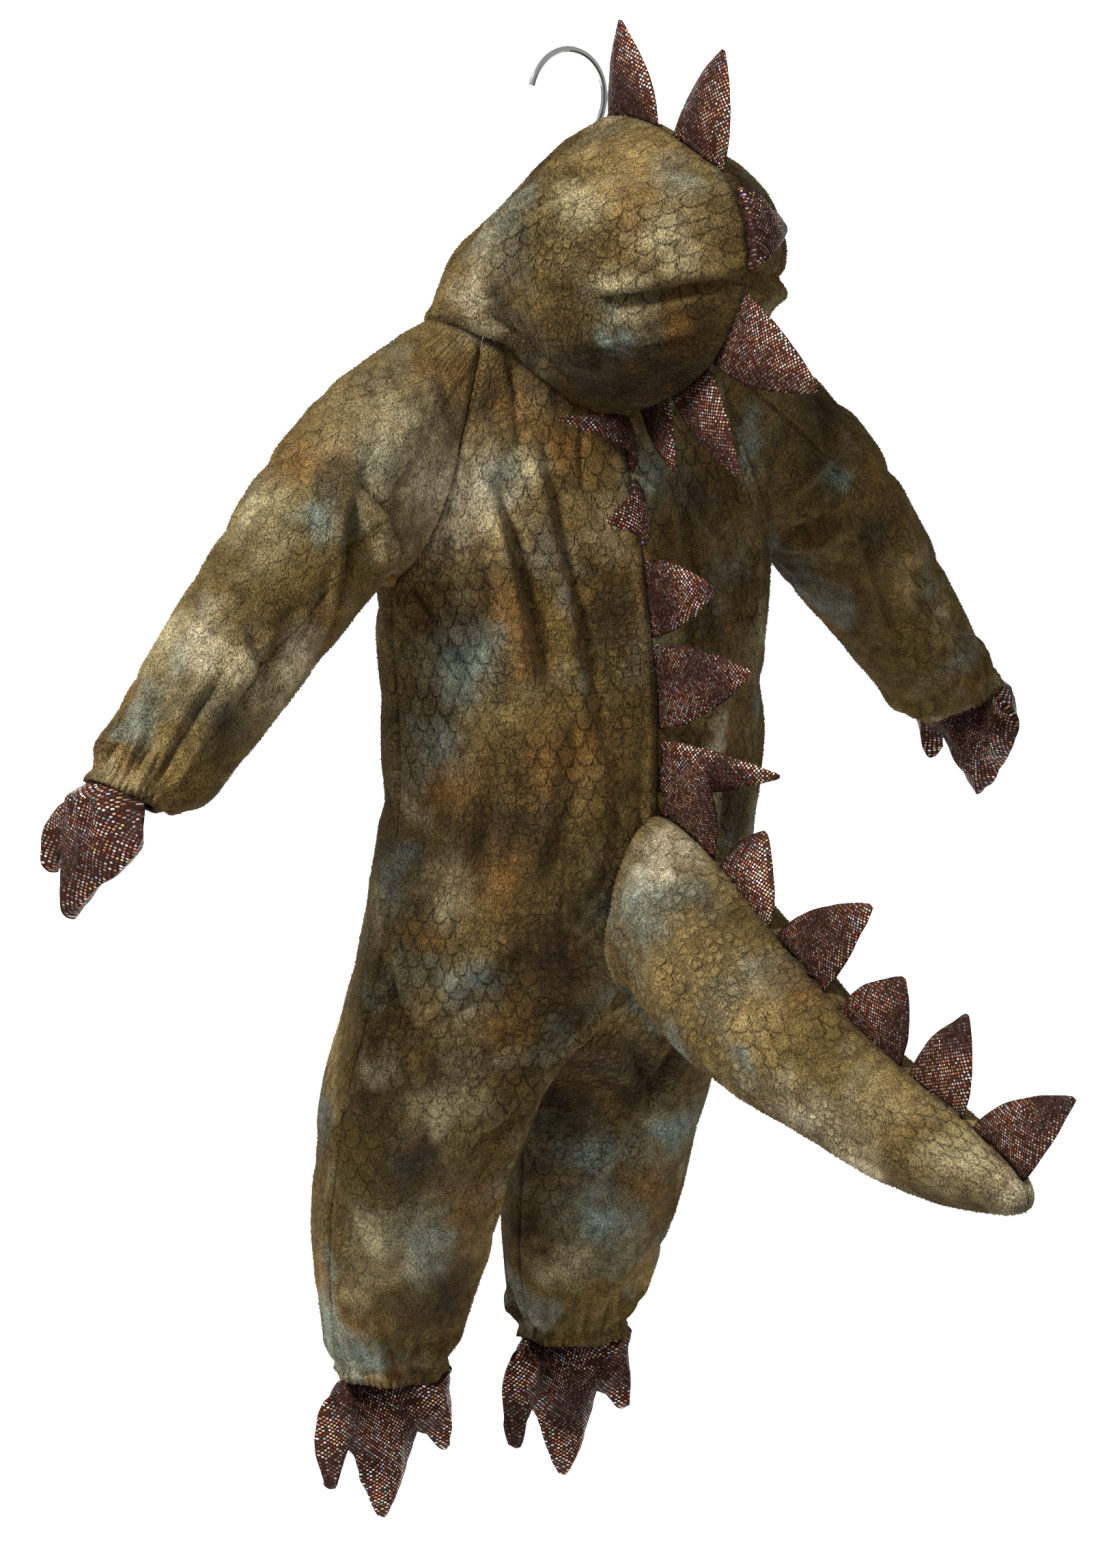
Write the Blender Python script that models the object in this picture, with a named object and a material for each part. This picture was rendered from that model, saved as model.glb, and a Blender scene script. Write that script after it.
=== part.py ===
"""A toddler's hooded dinosaur costume, filled out and hung on a hanger.

Plush panels with open seams, a stuffed tail, stuffed spikes along the back seams and stuffed
claws at the cuffs. Tables are in millimetres. +Z is up, the garment's front faces -Y, its left
side is +X, and the origin is the inside top of the hanger's hook.
"""
import math

import bmesh
import bpy
import numpy as np
from mathutils import Vector
from mathutils.geometry import delaunay_2d_cdt

MM = 0.001

# Cloth and seams
WALL = 2.5
SEAM_GAP = 0.3
SEAT_GAP = 0.35

# Body panels: rows of the half body's outline, from the neck to the ankle hem.
# mid_x is 0 on the trunk; the crotch seam runs where the outline meets the middle plane.
BODY_COLUMNS = ("z", "mid_x", "mid_y", "out", "inn", "front", "back")
BODY_ROWS = (
    (-150, 0, 0, 98, 76, 50, 37),
    (-180, 0, 1, 110, 76, 56, 40),
    (-212, 0, 2, 121, 76, 61, 43),
    (-260, 0, 5, 135, 76, 67, 57),
    (-310, 0, 9, 142, 76, 72, 64),
    (-370, 0, 7, 138, 76, 80, 76),
    (-420, 0, 5, 132, 76, 86, 80),
    (-470, 0, -4, 130, 76, 89, 86),
    (-520, 0, -15, 131, 76, 89, 87),
    (-560, 27, -26, 105, 76, 86, 81),
    (-600, 53, -37, 83, 76, 80, 73),
    (-636, 76, -49, 62, 76, 71, 67),
    (-668, 76, -58, 60, 69, 65, 62),
    (-707, 75, -70, 59, 60, 60, 60),
    (-740, 74, -77, 56, 55, 56, 56),
    (-770, 73, -83, 50, 50, 49, 49),
    (-794, 73, -87, 44, 44, 43, 43),
    (-808, 73, -89, 38, 38, 37, 37),
    (-820, 73, -90, 33, 33, 33, 33),
)
HIP_Z = -520
CROTCH_Z = -636
PANEL_STEPS = 14
YOKE_STEPS = 4
PANEL_LEVELS = (-330, -372, -420, -470, -520, -553, -582, -610, -636, -654, -688, -722,
                -750, -772, -788, -800, -808, -814, -820)

# Raglan seam: its turn and height at each column, from the side seam to the neck
RAGLAN = (
    # turn, height
    (0.00, -310), (0.12, -297), (0.24, -282), (0.335, -256), (0.385, -214), (0.405, -163),
)
YOKE_EASE = 1.6
RAGLAN_STEPS = len(RAGLAN) - 1
BACK_NECK_Z = -212
FRONT_NECK_Z = -215
SHOULDER_X = 104
SHOULDER_RISE = 9
SHOULDER_POINTS = 7

# Ankle gathers
ANKLE_GATHERS = 7
ANKLE_GATHER_DEPTH = 2.6
ANKLE_GATHER_TOP = -745
ANKLE_GATHER_FULL = -806

# Soft folds in the body panels: troughs from one place to another.
# turn runs from 0 at the side seam to 1 at the middle seam or the inside leg.
FOLD_COLUMNS = ("panel", "turn_a", "z_a", "turn_b", "z_b", "width", "depth")
FOLDS = (
    ("back", 0.50, -235, 0.66, -345, 11, 4.0),
    ("back", 0.30, -300, 0.62, -420, 12, 3.5),
    ("back", 0.12, -330, 0.40, -455, 13, 3.5),
    ("back", 0.72, -300, 0.80, -430, 10, -2.5),
    ("back", 0.18, -480, 0.34, -600, 14, 3.5),
    ("back", 0.60, -560, 0.22, -640, 13, 4.5),
    ("back", 0.75, -610, 0.40, -668, 12, 4.5),
    ("back", 0.30, -690, 0.55, -770, 12, 3.5),
    ("back", 0.62, -690, 0.78, -776, 11, 3.5),
    ("front", 0.30, -290, 0.55, -400, 13, 4.0),
    ("front", 0.62, -250, 0.70, -380, 12, 3.0),
    ("front", 0.20, -420, 0.50, -540, 14, 4.0),
    ("front", 0.80, -560, 0.45, -620, 13, 5.0),
    ("front", 0.82, -600, 0.40, -676, 12, 5.0),
    ("front", 0.35, -690, 0.60, -775, 12, 3.5),
)
TURN_TO_MM = 190

# Sleeves: sections along the arm
SLEEVE_ROWS = (
    # x, y, z, radius up towards the shoulder, radius across
    (193, 9, -275, 50, 46),
    (211, 8, -296, 48, 45),
    (229, 7, -317, 46, 44),
    (247, 5, -338, 44, 43),
    (265, 3, -358, 42, 41),
    (281, 1, -378, 39, 40),
    (295, 0, -393, 37, 38),
    (307, 0, -404, 33, 35),
    (315, 0, -409, 28, 30),
    (322, 1, -411, 24.5, 24.5),
    (327, 2, -414, 22.5, 22),
)
SLEEVE_CAP_STEPS = 5
SHOULDER_DIRECTION = (0.92, 0.0, -0.40)
CUFF_DIRECTION = (0.50, 0.0, -0.87)
WRIST_GATHERS = 6
WRIST_GATHER_DEPTH = 2.2
WRIST_GATHER_FROM = 5
SLEEVE_LIFT = 5
SLEEVE_FOLD_COLUMNS = ("row", "around", "length", "width", "depth")
SLEEVE_FOLDS = (
    (1.0, 0.30, 2.2, 0.07, 4.5),
    (2.6, 0.66, 2.0, 0.08, 4.0),
    (3.4, 0.22, 2.4, 0.07, 4.0),
    (4.8, 0.45, 2.0, 0.08, 3.5),
    (5.2, 0.85, 2.2, 0.08, 3.5),
)

# Hood: the middle seam's line, from above the nape round the back to the front edge
HOOD_SEAM = (
    # y, z
    (60, -209), (82, -203), (108, -193), (134, -175), (155, -146), (164, -121),
    (161, -95), (145, -69), (120, -57), (97, -47), (72, -39), (48, -36), (30, -38),
)
# Ribs from the neck seam to the middle seam: handles at both ends, and the seam's share
HOOD_RIB_COLUMNS = ("rib", "share", "out", "back", "rise", "side", "drop", "ahead")
HOOD_RIBS = (
    (0, 0.00, 0, 9, -4, 0, 0, 0),
    (3, 0.10, 12, 26, -6, 40, 6, 0),
    (6, 0.30, 20, 46, -8, 64, 18, 0),
    (9, 0.52, 18, 42, 10, 86, 22, 0),
    (13, 0.74, 6, 26, 48, 84, 12, 4),
    (17, 0.88, 2, 4, 52, 66, 16, -2),
    (22, 0.95, 34, -14, 48, 56, 22, -16),
    (26, 1.00, 62, -4, 44, 64, 24, -24),
)
HOOD_STEPS = 8
HOOD_FOLDS = (
    # rib, height, length in ribs, width in steps, depth
    (7.0, 4.2, 5.0, 0.8, 6.0),
    (12.0, 2.6, 4.0, 0.9, 3.5),
    (18.0, 4.6, 4.0, 0.9, 3.0),
)

# Tail: centre line and radii of its sections; the root lies on the back
TAIL_ROWS = (
    # y, z, half height, half width
    (88, -506, 56, 41),
    (114, -514, 51, 46),
    (138, -531, 51, 48),
    (163, -546, 50, 48),
    (189, -559, 47, 45),
    (216, -570, 43, 42),
    (250, -583, 38, 38),
    (285, -594, 34, 34),
    (315, -602, 30, 31),
    (344, -609, 26.5, 27),
    (373, -615, 20.5, 21),
    (393, -619, 14, 14.5),
    (405, -622, 8, 8.5),
)
TAIL_ROOT_Z = -505
TAIL_ROOT_HALF_HEIGHT = 56
TAIL_ROOT_HALF_WIDTH = 31
TAIL_TIP = (409, -623)
TAIL_STEPS = 10
TAIL_ROOT_GAP = 0.6

# Spikes: the seam they stand in, where their base starts and ends on it (y, z), and the tip
SPIKE_COLUMNS = ("name", "seam", "start", "end", "tip", "belly", "curl")
SPIKES = (
    ("hood_spike_1", "hood", (82, -41), (34, -37), (0, 46, 20), 9, 0.0),
    ("hood_spike_2", "hood", (142, -67), (96, -46), (0, 141, 4), 9, 0.0),
    ("hood_spike_3", "hood", (163, -124), (149, -74), (-40, 152, -99), 6, 0.35),
    ("hood_spike_4", "hood", (133, -176), (160, -134), (0, 226, -186), 10, 0.0),
    ("neck_spike_1", "hood", (66, -207), (92, -200), (0, 97, -243), 6, 0.0),
    ("neck_spike_2", "hood", (95, -199), (131, -178), (0, 157, -241), 8, 0.0),
    ("neck_spike_3", "back", (54, -246), (46, -218), (64, 68, -210), 5, 0.50),
    ("back_spike_1", "back", (69, -290), (59, -250), (38, 82, -271), 6, 0.45),
    ("back_spike_2", "back", (78, -343), (68, -298), (0, 137, -309), 9, 0.0),
    ("back_spike_3", "back", (88, -398), (79, -348), (0, 169, -354), 9, 0.0),
    ("back_spike_4", "back", (84, -436), (85, -403), (-22, 170, -417), 7, 0.0),
    ("tail_spike_1", "tail", (137, -469), (85, -449), (26, 154, -407), 8, 0.0),
    ("tail_spike_2", "tail", (187, -501), (142, -472), (-16, 165, -450), 8, 0.0),
    ("tail_spike_3", "tail", (236, -531), (193, -504), (0, 276, -475), 9, 0.0),
    ("tail_spike_4", "tail", (301, -564), (251, -539), (0, 304, -512), 9, 0.0),
    ("tail_spike_5", "tail", (356, -584), (308, -567), (0, 357, -524), 9, 0.0),
    ("tail_spike_6", "tail", (403, -612), (362, -587), (0, 443, -556), 9, 0.0),
)
SPIKE_ACROSS = 6
SPIKE_UP = 6
SPIKE_TIP_SHARE = 0.07

# Claw pads: outlines (across, up) from the middle of the cuff's edge
FOOT_OUTLINE = (
    (-42, 0), (-50, -18), (-54, -42), (-48, -62), (-38, -54), (-29, -47), (-25, -64), (-17, -86),
    (-7, -101), (4, -91), (14, -66), (20, -53), (28, -52), (36, -62), (42, -72), (49, -60),
    (53, -36), (51, -14), (42, -2), (30, 0), (15, 0), (0, 0), (-15, 0), (-29, 0),
)
HAND_OUTLINE = (
    (24, 0), (34, -12), (35, -24), (25, -40), (9, -56), (-5, -70), (-16, -78), (-23, -71),
    (-28, -52), (-34, -36), (-41, -44), (-49, -55), (-57, -45), (-61, -27), (-51, -8), (-36, 0),
    (-18, 0), (0, 0), (12, 0),
)
CLAW_BELLY = 13
CLAW_ROUND = 15
CLAW_GRID = 11
CLAW_EDGE_CLEAR = 6
CUFF_SEAT_GAP = 0.4

# Hanger: a wire hook and a plain bar inside the shoulders
WIRE = 4.0
HOOK_RADIUS = 26.0
HOOK_SHIFT = 3.0
HOOK_TIP_ANGLE = 14
HOOK_END_ANGLE = 218
STEM_TOP_Z = -82
BAR_RADIUS = 6.0
BAR_HUB_Z = -132
BAR_RISE_SHARES = (0.06, 0.35, 0.7)
BAR_FROM_X = 116
BAR_TO_X = 204
BAR_ARM_POINTS = 13
BAR_CLOTH_GAP = 0.6
BAR_LOWEST_Z = -262

COLOURS = {
    "plush": ((0.125, 0.088, 0.040), 0.95, 0.0),
    "dotted_knit": ((0.060, 0.028, 0.022), 0.45, 0.3),
    "chrome": ((0.75, 0.75, 0.77), 0.12, 1.0),
    "bar": ((0.03, 0.03, 0.03), 0.4, 0.0),
}


def unit(vector):
    return vector / np.linalg.norm(vector)


def smoothstep(value):
    t = min(max(value, 0.0), 1.0)
    return t * t * (3 - 2 * t)


class Table:
    """Rows of numbers read at any value of the first column, with no overshoot between rows."""

    def __init__(self, columns, rows):
        data = np.array(sorted(rows), dtype=float)
        self.columns = columns
        self.key = data[:, 0]
        self.data = data
        steps = np.diff(data, axis=0)
        rates = steps / steps[:, :1]
        slopes = np.zeros_like(data)
        slopes[0] = rates[0]
        slopes[-1] = rates[-1]
        for i in range(1, len(data) - 1):
            before, after = rates[i - 1], rates[i]
            same = before * after > 0
            total = np.where(same, before + after, 1.0)
            slopes[i] = np.where(same, 2 * before * after / total, 0.0)
        self.slopes = slopes

    def at(self, value):
        value = min(max(value, self.key[0]), self.key[-1])
        i = min(max(int(np.searchsorted(self.key, value)) - 1, 0), len(self.key) - 2)
        span = self.key[i + 1] - self.key[i]
        t = (value - self.key[i]) / span
        mixed = ((2 * t**3 - 3 * t**2 + 1) * self.data[i]
                 + (t**3 - 2 * t**2 + t) * span * self.slopes[i]
                 + (3 * t**2 - 2 * t**3) * self.data[i + 1]
                 + (t**3 - t**2) * span * self.slopes[i + 1])
        return dict(zip(self.columns, mixed))


class Line:
    """A smooth curve through points, read by its share of the length."""

    def __init__(self, points, between=12):
        pts = [np.array(p, dtype=float) for p in points]
        pts = [2 * pts[0] - pts[1]] + pts + [2 * pts[-1] - pts[-2]]
        dense = []
        for a, b, c, d in zip(pts, pts[1:], pts[2:], pts[3:]):
            for k in range(between):
                t = k / between
                dense.append(0.5 * (2 * b + (c - a) * t + (2 * a - 5 * b + 4 * c - d) * t**2
                                    + (3 * b - a - 3 * c + d) * t**3))
        dense.append(pts[-2])
        self.points = np.array(dense)
        steps = np.linalg.norm(np.diff(self.points, axis=0), axis=1)
        self.length = np.concatenate([[0], np.cumsum(steps)])

    def at(self, share):
        place = min(max(share, 0.0), 1.0) * self.length[-1]
        return np.array([np.interp(place, self.length, column) for column in self.points.T])

    def nearest(self, point):
        away = np.linalg.norm(self.points - np.array(point, dtype=float), axis=1)
        return self.length[int(np.argmin(away))] / self.length[-1]

    def direction(self, share):
        return unit(self.at(share + 0.01) - self.at(share - 0.01))


BODY = Table(BODY_COLUMNS, BODY_ROWS)


def body_point(side, turn, z):
    """A point of the half body's outer face; turn is 0 at the side seam, 1 at the middle."""
    row = BODY.at(z)
    if z >= HIP_Z:
        reach = 90.0
    elif z > CROTCH_Z:
        reach = 180.0 - math.degrees(math.acos(min(row["mid_x"] / row["inn"], 1.0)))
    else:
        reach = 180.0
    angle = math.radians(turn * reach)
    across = row["out"] if math.cos(angle) >= 0 else row["inn"]
    depth = row["back"] if side == "back" else -row["front"]
    x = row["mid_x"] + across * math.cos(angle)
    y = row["mid_y"] + depth * math.sin(angle)
    return np.array([x, y, z]), angle, row


def back_surface_y(x, z):
    """The back's outer face beside the middle seam."""
    row = BODY.at(z)
    across = row["inn"] if x < row["mid_x"] else row["out"]
    share = (x - row["mid_x"]) / across
    return row["mid_y"] + row["back"] * math.sqrt(max(1 - share * share, 0.0))


def fold_depth(side, turn, z):
    """How far the soft folds pull the cloth in at a place of a body panel."""
    place = np.array([turn * TURN_TO_MM, z])
    total = 0.0
    for values in FOLDS:
        fold = dict(zip(FOLD_COLUMNS, values))
        if fold["panel"] != side:
            continue
        a = np.array([fold["turn_a"] * TURN_TO_MM, fold["z_a"]])
        b = np.array([fold["turn_b"] * TURN_TO_MM, fold["z_b"]])
        t = np.dot(place - a, b - a) / np.dot(b - a, b - a)
        near = a + min(max(t, 0.0), 1.0) * (b - a)
        away = np.linalg.norm(place - near)
        total += fold["depth"] * math.exp(-(away / fold["width"])**2)
    edge = smoothstep(turn / 0.16) * smoothstep((1 - turn) / 0.16)
    return total * edge


def panel_top(side, column):
    """The turn and height of a panel's top edge: up the raglan seam, then along the neck."""
    if column <= RAGLAN_STEPS:
        return RAGLAN[column]
    corner_turn, corner_z = RAGLAN[-1]
    share = (column - RAGLAN_STEPS) / (PANEL_STEPS - RAGLAN_STEPS)
    middle_z = BACK_NECK_Z if side == "back" else FRONT_NECK_Z
    return (corner_turn + (1 - corner_turn) * share,
            corner_z + (middle_z - corner_z) * smoothstep(share))


def cloth_point(side, turn, z, below_top):
    """A point of the panel with its gathers and folds."""
    point, angle, row = body_point(side, turn, z)
    if turn < 1 or z < CROTCH_Z:
        outward = unit(np.array([math.cos(angle) * row["back"],
                                 math.sin(angle) * row["out"] * (1 if side == "back" else -1),
                                 0.0]))
        depth = fold_depth(side, turn, z) * smoothstep(below_top / 30)
        gather = smoothstep((ANKLE_GATHER_TOP - z) / (ANKLE_GATHER_TOP - ANKLE_GATHER_FULL))
        if z < CROTCH_Z:
            ripple = math.cos(ANKLE_GATHERS * math.radians(180 * turn))
            depth -= gather * ANKLE_GATHER_DEPTH * ripple
        point = point - outward * depth
    return point


def body_panel(side):
    """The grid of a left panel, rows from the raglan and neck down to the hem."""
    grid = []
    for step in range(YOKE_STEPS):
        share = step / YOKE_STEPS
        row = []
        for column in range(PANEL_STEPS + 1):
            turn, top = panel_top(side, column)
            turn += (column / PANEL_STEPS - turn) * share**YOKE_EASE
            z = top + (PANEL_LEVELS[0] - top) * share
            row.append(cloth_point(side, turn, z, top - z))
        grid.append(row)
    for z in PANEL_LEVELS:
        row = []
        for column in range(PANEL_STEPS + 1):
            below = panel_top(side, column)[1] - z
            row.append(cloth_point(side, column / PANEL_STEPS, z, below))
        grid.append(row)
    return np.array(grid)


def shoulder_points(back_corner, front_corner):
    """The neck seam across the top of the sleeve, from its back corner to its front one."""
    points = []
    for k in range(1, SHOULDER_POINTS + 1):
        t = k / (SHOULDER_POINTS + 1)
        point = back_corner + (front_corner - back_corner) * t
        swell = math.sin(math.pi * t)
        point[0] += (SHOULDER_X - point[0]) * swell**0.8
        point[2] += SHOULDER_RISE * swell
        points.append(point)
    return points


def sleeve(back, front, lift):
    """A closed tube from the raglan seam to the wrist: rows of points round the arm."""
    back_edge = [back[0][k] for k in range(RAGLAN_STEPS + 1)]
    front_edge = [front[0][k] for k in range(RAGLAN_STEPS + 1)]
    loop = back_edge + shoulder_points(back_edge[-1], front_edge[-1]) + front_edge[:0:-1]
    count = len(loop)
    centres = [np.array(row[:3], dtype=float) for row in SLEEVE_ROWS]
    for k, centre in enumerate(centres):
        centre[2] += lift * (1 - smoothstep(k / (len(centres) - 3)))
    rings = []
    for k, row in enumerate(SLEEVE_ROWS):
        before = centres[max(k - 1, 0)]
        after = centres[min(k + 1, len(centres) - 1)]
        bend = smoothstep((k - 6) / (len(centres) - 7))
        along = unit(unit(after - before) * (1 - bend) + unit(np.array(CUFF_DIRECTION)) * bend)
        across = unit(np.cross(np.array([0.0, 0.0, 1.0]), along))
        up = np.cross(along, across)
        gather = WRIST_GATHER_DEPTH * smoothstep(
            (k - WRIST_GATHER_FROM) / (len(centres) - 2 - WRIST_GATHER_FROM))
        ring = []
        for j in range(count):
            share = j / count
            angle = math.pi - 2 * math.pi * share
            ripple = gather * math.cos(WRIST_GATHERS * 2 * math.pi * share)
            dent = sleeve_fold(k, share)
            ring.append(centres[k] + up * (row[3] + ripple - dent) * math.cos(angle)
                        + across * (row[4] + ripple - dent) * math.sin(angle))
        rings.append((ring, along))
    first_ring, first_along = rings[0]
    grid = [loop]
    for step in range(1, SLEEVE_CAP_STEPS):
        t = step / SLEEVE_CAP_STEPS
        row = []
        for j in range(count):
            start, end = loop[j], first_ring[j]
            height = smoothstep((0.5 - abs(j / count - 0.5)) * 2.4)
            lead = unit(first_along * (1 - height) + np.array(SHOULDER_DIRECTION) * height)
            reach = np.linalg.norm(end - start) * 0.36
            a = start + lead * reach
            b = end - first_along * reach
            row.append((1 - t)**3 * start + 3 * t * (1 - t)**2 * a + 3 * t**2 * (1 - t) * b
                       + t**3 * end)
        grid.append(row)
    grid.extend(ring for ring, _ in rings)
    return np.array(grid)


def sleeve_fold(row, share):
    total = 0.0
    for values in SLEEVE_FOLDS:
        fold = dict(zip(SLEEVE_FOLD_COLUMNS, values))
        away = abs((share - fold["around"] + 0.5) % 1.0 - 0.5) / fold["width"]
        along = (row - fold["row"]) / fold["length"]
        total += fold["depth"] * math.exp(-away**2 - along**2)
    return total


HOOD_LINE = Line(HOOD_SEAM)
HOOD_RIB_TABLE = Table(HOOD_RIB_COLUMNS, HOOD_RIBS)


def hood(back, front):
    """The left half of the hood: ribs from the neck seam to the middle seam and front edge."""
    back_neck = [back[0][k] for k in range(PANEL_STEPS, RAGLAN_STEPS - 1, -1)]
    front_neck = [front[0][k] for k in range(RAGLAN_STEPS, PANEL_STEPS + 1)]
    neck = back_neck + shoulder_points(back_neck[-1], front_neck[0]) + front_neck
    ribs = []
    for k, start in enumerate(neck):
        rib = HOOD_RIB_TABLE.at(k)
        y, z = HOOD_LINE.at(rib["share"])
        ahead = HOOD_LINE.direction(rib["share"])
        outward = np.array([0.0, ahead[1], -ahead[0]])
        end = np.array([0.0, y, z])
        a = start + np.array([rib["out"], rib["back"], rib["rise"]])
        b = end + np.array([rib["side"], rib["ahead"], 0.0]) - outward * rib["drop"]
        line = []
        for step in range(HOOD_STEPS + 1):
            t = step / HOOD_STEPS
            point = ((1 - t)**3 * start + 3 * t * (1 - t)**2 * a + 3 * t**2 * (1 - t) * b
                     + t**3 * end)
            line.append(point)
        ribs.append(line)
    grid = np.array(ribs).transpose(1, 0, 2)
    centre = grid.mean(axis=(0, 1))
    for rib, height, length, width, depth in HOOD_FOLDS:
        for i in range(1, HOOD_STEPS):
            for k in range(1, len(neck) - 1):
                push = depth * math.exp(-((k - rib) / length)**2 - ((i - height) / width)**2)
                grid[i, k] += unit(centre - grid[i, k]) * push
    return grid


def flip(grid):
    """The mirror image across the middle plane, still facing outwards."""
    mirrored = grid[:, ::-1].copy()
    mirrored[..., 0] *= -1
    return mirrored


def face_normals(grid, wrap):
    after = np.roll(grid, -1, axis=1) if wrap else grid[:, 1:]
    before = grid if wrap else grid[:, :-1]
    one = after[1:] - before[:-1]
    two = before[1:] - after[:-1]
    return np.cross(one, two)


def spread_normals(grid, wrap):
    """Each grid point's outward direction, from the faces around it."""
    faces = face_normals(grid, wrap)
    total = np.zeros_like(grid)
    for di in (0, 1):
        rows = slice(di, di + faces.shape[0])
        if wrap:
            total[rows] += faces
            total[rows] += np.roll(faces, 1, axis=1)
        else:
            total[rows, :-1] += faces
            total[rows, 1:] += faces
    return total


def place_key(point):
    return tuple(int(round(v * 200)) for v in point)


def shared_normals(panels):
    """Averages the directions where panels meet, so that their walls meet too."""
    total = {}
    for grid, wrap, _ in panels.values():
        for point, normal in zip(grid.reshape(-1, 3), spread_normals(grid, wrap).reshape(-1, 3)):
            key = place_key(point)
            total[key] = total.get(key, 0) + unit(normal)
    result = {}
    for name, (grid, wrap, _) in panels.items():
        flat = [unit(total[place_key(p)]) for p in grid.reshape(-1, 3)]
        result[name] = np.array(flat).reshape(grid.shape)
    return result


def pulled_in(grid, wrap):
    """The grid with its edges moved in by half a seam's gap, along the cloth."""
    moved = grid.copy()
    sides = [(0, 1, 0), (-1, -2, 0)]
    if not wrap:
        sides += [(0, 1, 1), (-1, -2, 1)]
    for edge, inner, axis in sides:
        line = grid[edge] if axis == 0 else grid[:, edge]
        near = grid[inner] if axis == 0 else grid[:, inner]
        tangent = np.roll(line, -1, axis=0) - np.roll(line, 1, axis=0)
        if not (wrap and axis == 0):
            tangent[0] = line[1] - line[0]
            tangent[-1] = line[-1] - line[-2]
        tangent /= np.linalg.norm(tangent, axis=1, keepdims=True)
        inward = near - line
        length = np.linalg.norm(inward, axis=1, keepdims=True)
        inward = inward - tangent * np.sum(inward * tangent, axis=1, keepdims=True)
        rest = np.linalg.norm(inward, axis=1, keepdims=True)
        step = np.where(rest > 0.25 * length, inward / np.maximum(rest, 1e-9), 0.0)
        if axis == 0:
            moved[edge] += step * SEAM_GAP / 2
        else:
            moved[:, edge] += step * SEAM_GAP / 2
    return moved


def keep_to_side(points, side):
    if side > 0:
        points[..., 0] = np.maximum(points[..., 0], SEAM_GAP / 2)
    if side < 0:
        points[..., 0] = np.minimum(points[..., 0], -SEAM_GAP / 2)
    return points


def material(name):
    found = bpy.data.materials.get(name)
    if found:
        return found
    colour, roughness, metallic = COLOURS[name]
    made = bpy.data.materials.new(name)
    made.use_nodes = True
    shader = made.node_tree.nodes["Principled BSDF"]
    shader.inputs["Base Color"].default_value = (*colour, 1.0)
    shader.inputs["Roughness"].default_value = roughness
    shader.inputs["Metallic"].default_value = metallic
    return made


def add_object(name, points, faces, finish):
    mesh = bpy.data.meshes.new(name)
    mesh.from_pydata([tuple(float(v) * MM for v in p) for p in points], [], faces)
    work = bmesh.new()
    work.from_mesh(mesh)
    bmesh.ops.recalc_face_normals(work, faces=work.faces)
    bmesh.ops.triangulate(work, faces=work.faces)
    work.to_mesh(mesh)
    work.free()
    mesh.shade_smooth()
    mesh.materials.append(material(finish))
    built = bpy.data.objects.new(name, mesh)
    bpy.context.scene.collection.objects.link(built)
    return built


def cloth_wall(name, grid, normals, wrap, side):
    """A closed wall: the outer grid, the inner grid one wall in, and the rims between."""
    rows, columns = grid.shape[:2]
    outer = keep_to_side(pulled_in(grid, wrap), side)
    inner = keep_to_side(outer - normals * WALL, side)
    points = np.concatenate([outer.reshape(-1, 3), inner.reshape(-1, 3)])
    half = rows * columns

    def at(i, j, layer):
        return layer * half + i * columns + j % columns

    faces = []
    last = columns if wrap else columns - 1
    for i in range(rows - 1):
        for j in range(last):
            faces.append((at(i, j, 0), at(i + 1, j, 0), at(i + 1, j + 1, 0), at(i, j + 1, 0)))
            faces.append((at(i, j, 1), at(i, j + 1, 1), at(i + 1, j + 1, 1), at(i + 1, j, 1)))
    for j in range(last):
        faces.append((at(0, j, 0), at(0, j + 1, 0), at(0, j + 1, 1), at(0, j, 1)))
        faces.append((at(rows - 1, j, 0), at(rows - 1, j, 1), at(rows - 1, j + 1, 1),
                      at(rows - 1, j + 1, 0)))
    if not wrap:
        for i in range(rows - 1):
            faces.append((at(i, 0, 0), at(i, 0, 1), at(i + 1, 0, 1), at(i + 1, 0, 0)))
            faces.append((at(i, columns - 1, 0), at(i + 1, columns - 1, 0),
                          at(i + 1, columns - 1, 1), at(i, columns - 1, 1)))
    return add_object(name, points, faces, "plush")


def garment_panels():
    """All cloth panels with shared edges: name to (grid, closed round, side)."""
    back = body_panel("back")
    front = body_panel("front")
    parts = {
        "back": back,
        "front": front[:, ::-1],
        "hood": hood(back, front)[::-1, ::-1],
    }
    panels = {}
    for name, grid in parts.items():
        panels[name + "_left"] = (grid, False, 1)
        panels[name + "_right"] = (flip(grid), False, -1)
    panels["sleeve_left"] = (sleeve(back, front, SLEEVE_LIFT), True, 1)
    panels["sleeve_right"] = (flip(sleeve(back, front, -SLEEVE_LIFT)), True, -1)
    return panels


def outward_or_turned(grid, wrap, inside):
    """Turns a grid round where it faces its own inside."""
    normals = spread_normals(grid, wrap)
    facing = np.sum(normals * (grid - inside))
    return grid if facing > 0 else grid[:, ::-1]


def build_garment():
    panels = {}
    for name, (grid, wrap, side) in garment_panels().items():
        inside = grid.mean(axis=(0, 1)) if wrap else np.array([0.0, 30.0, grid[..., 2].mean()])
        if "hood" in name:
            inside = np.array([0.0, 60.0, -120.0])
        panels[name] = (outward_or_turned(grid, wrap, inside), wrap, side)
    normals = shared_normals(panels)
    for name, (grid, wrap, side) in panels.items():
        cloth_wall(name, grid, normals[name], wrap, side)
    return panels, normals


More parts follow.
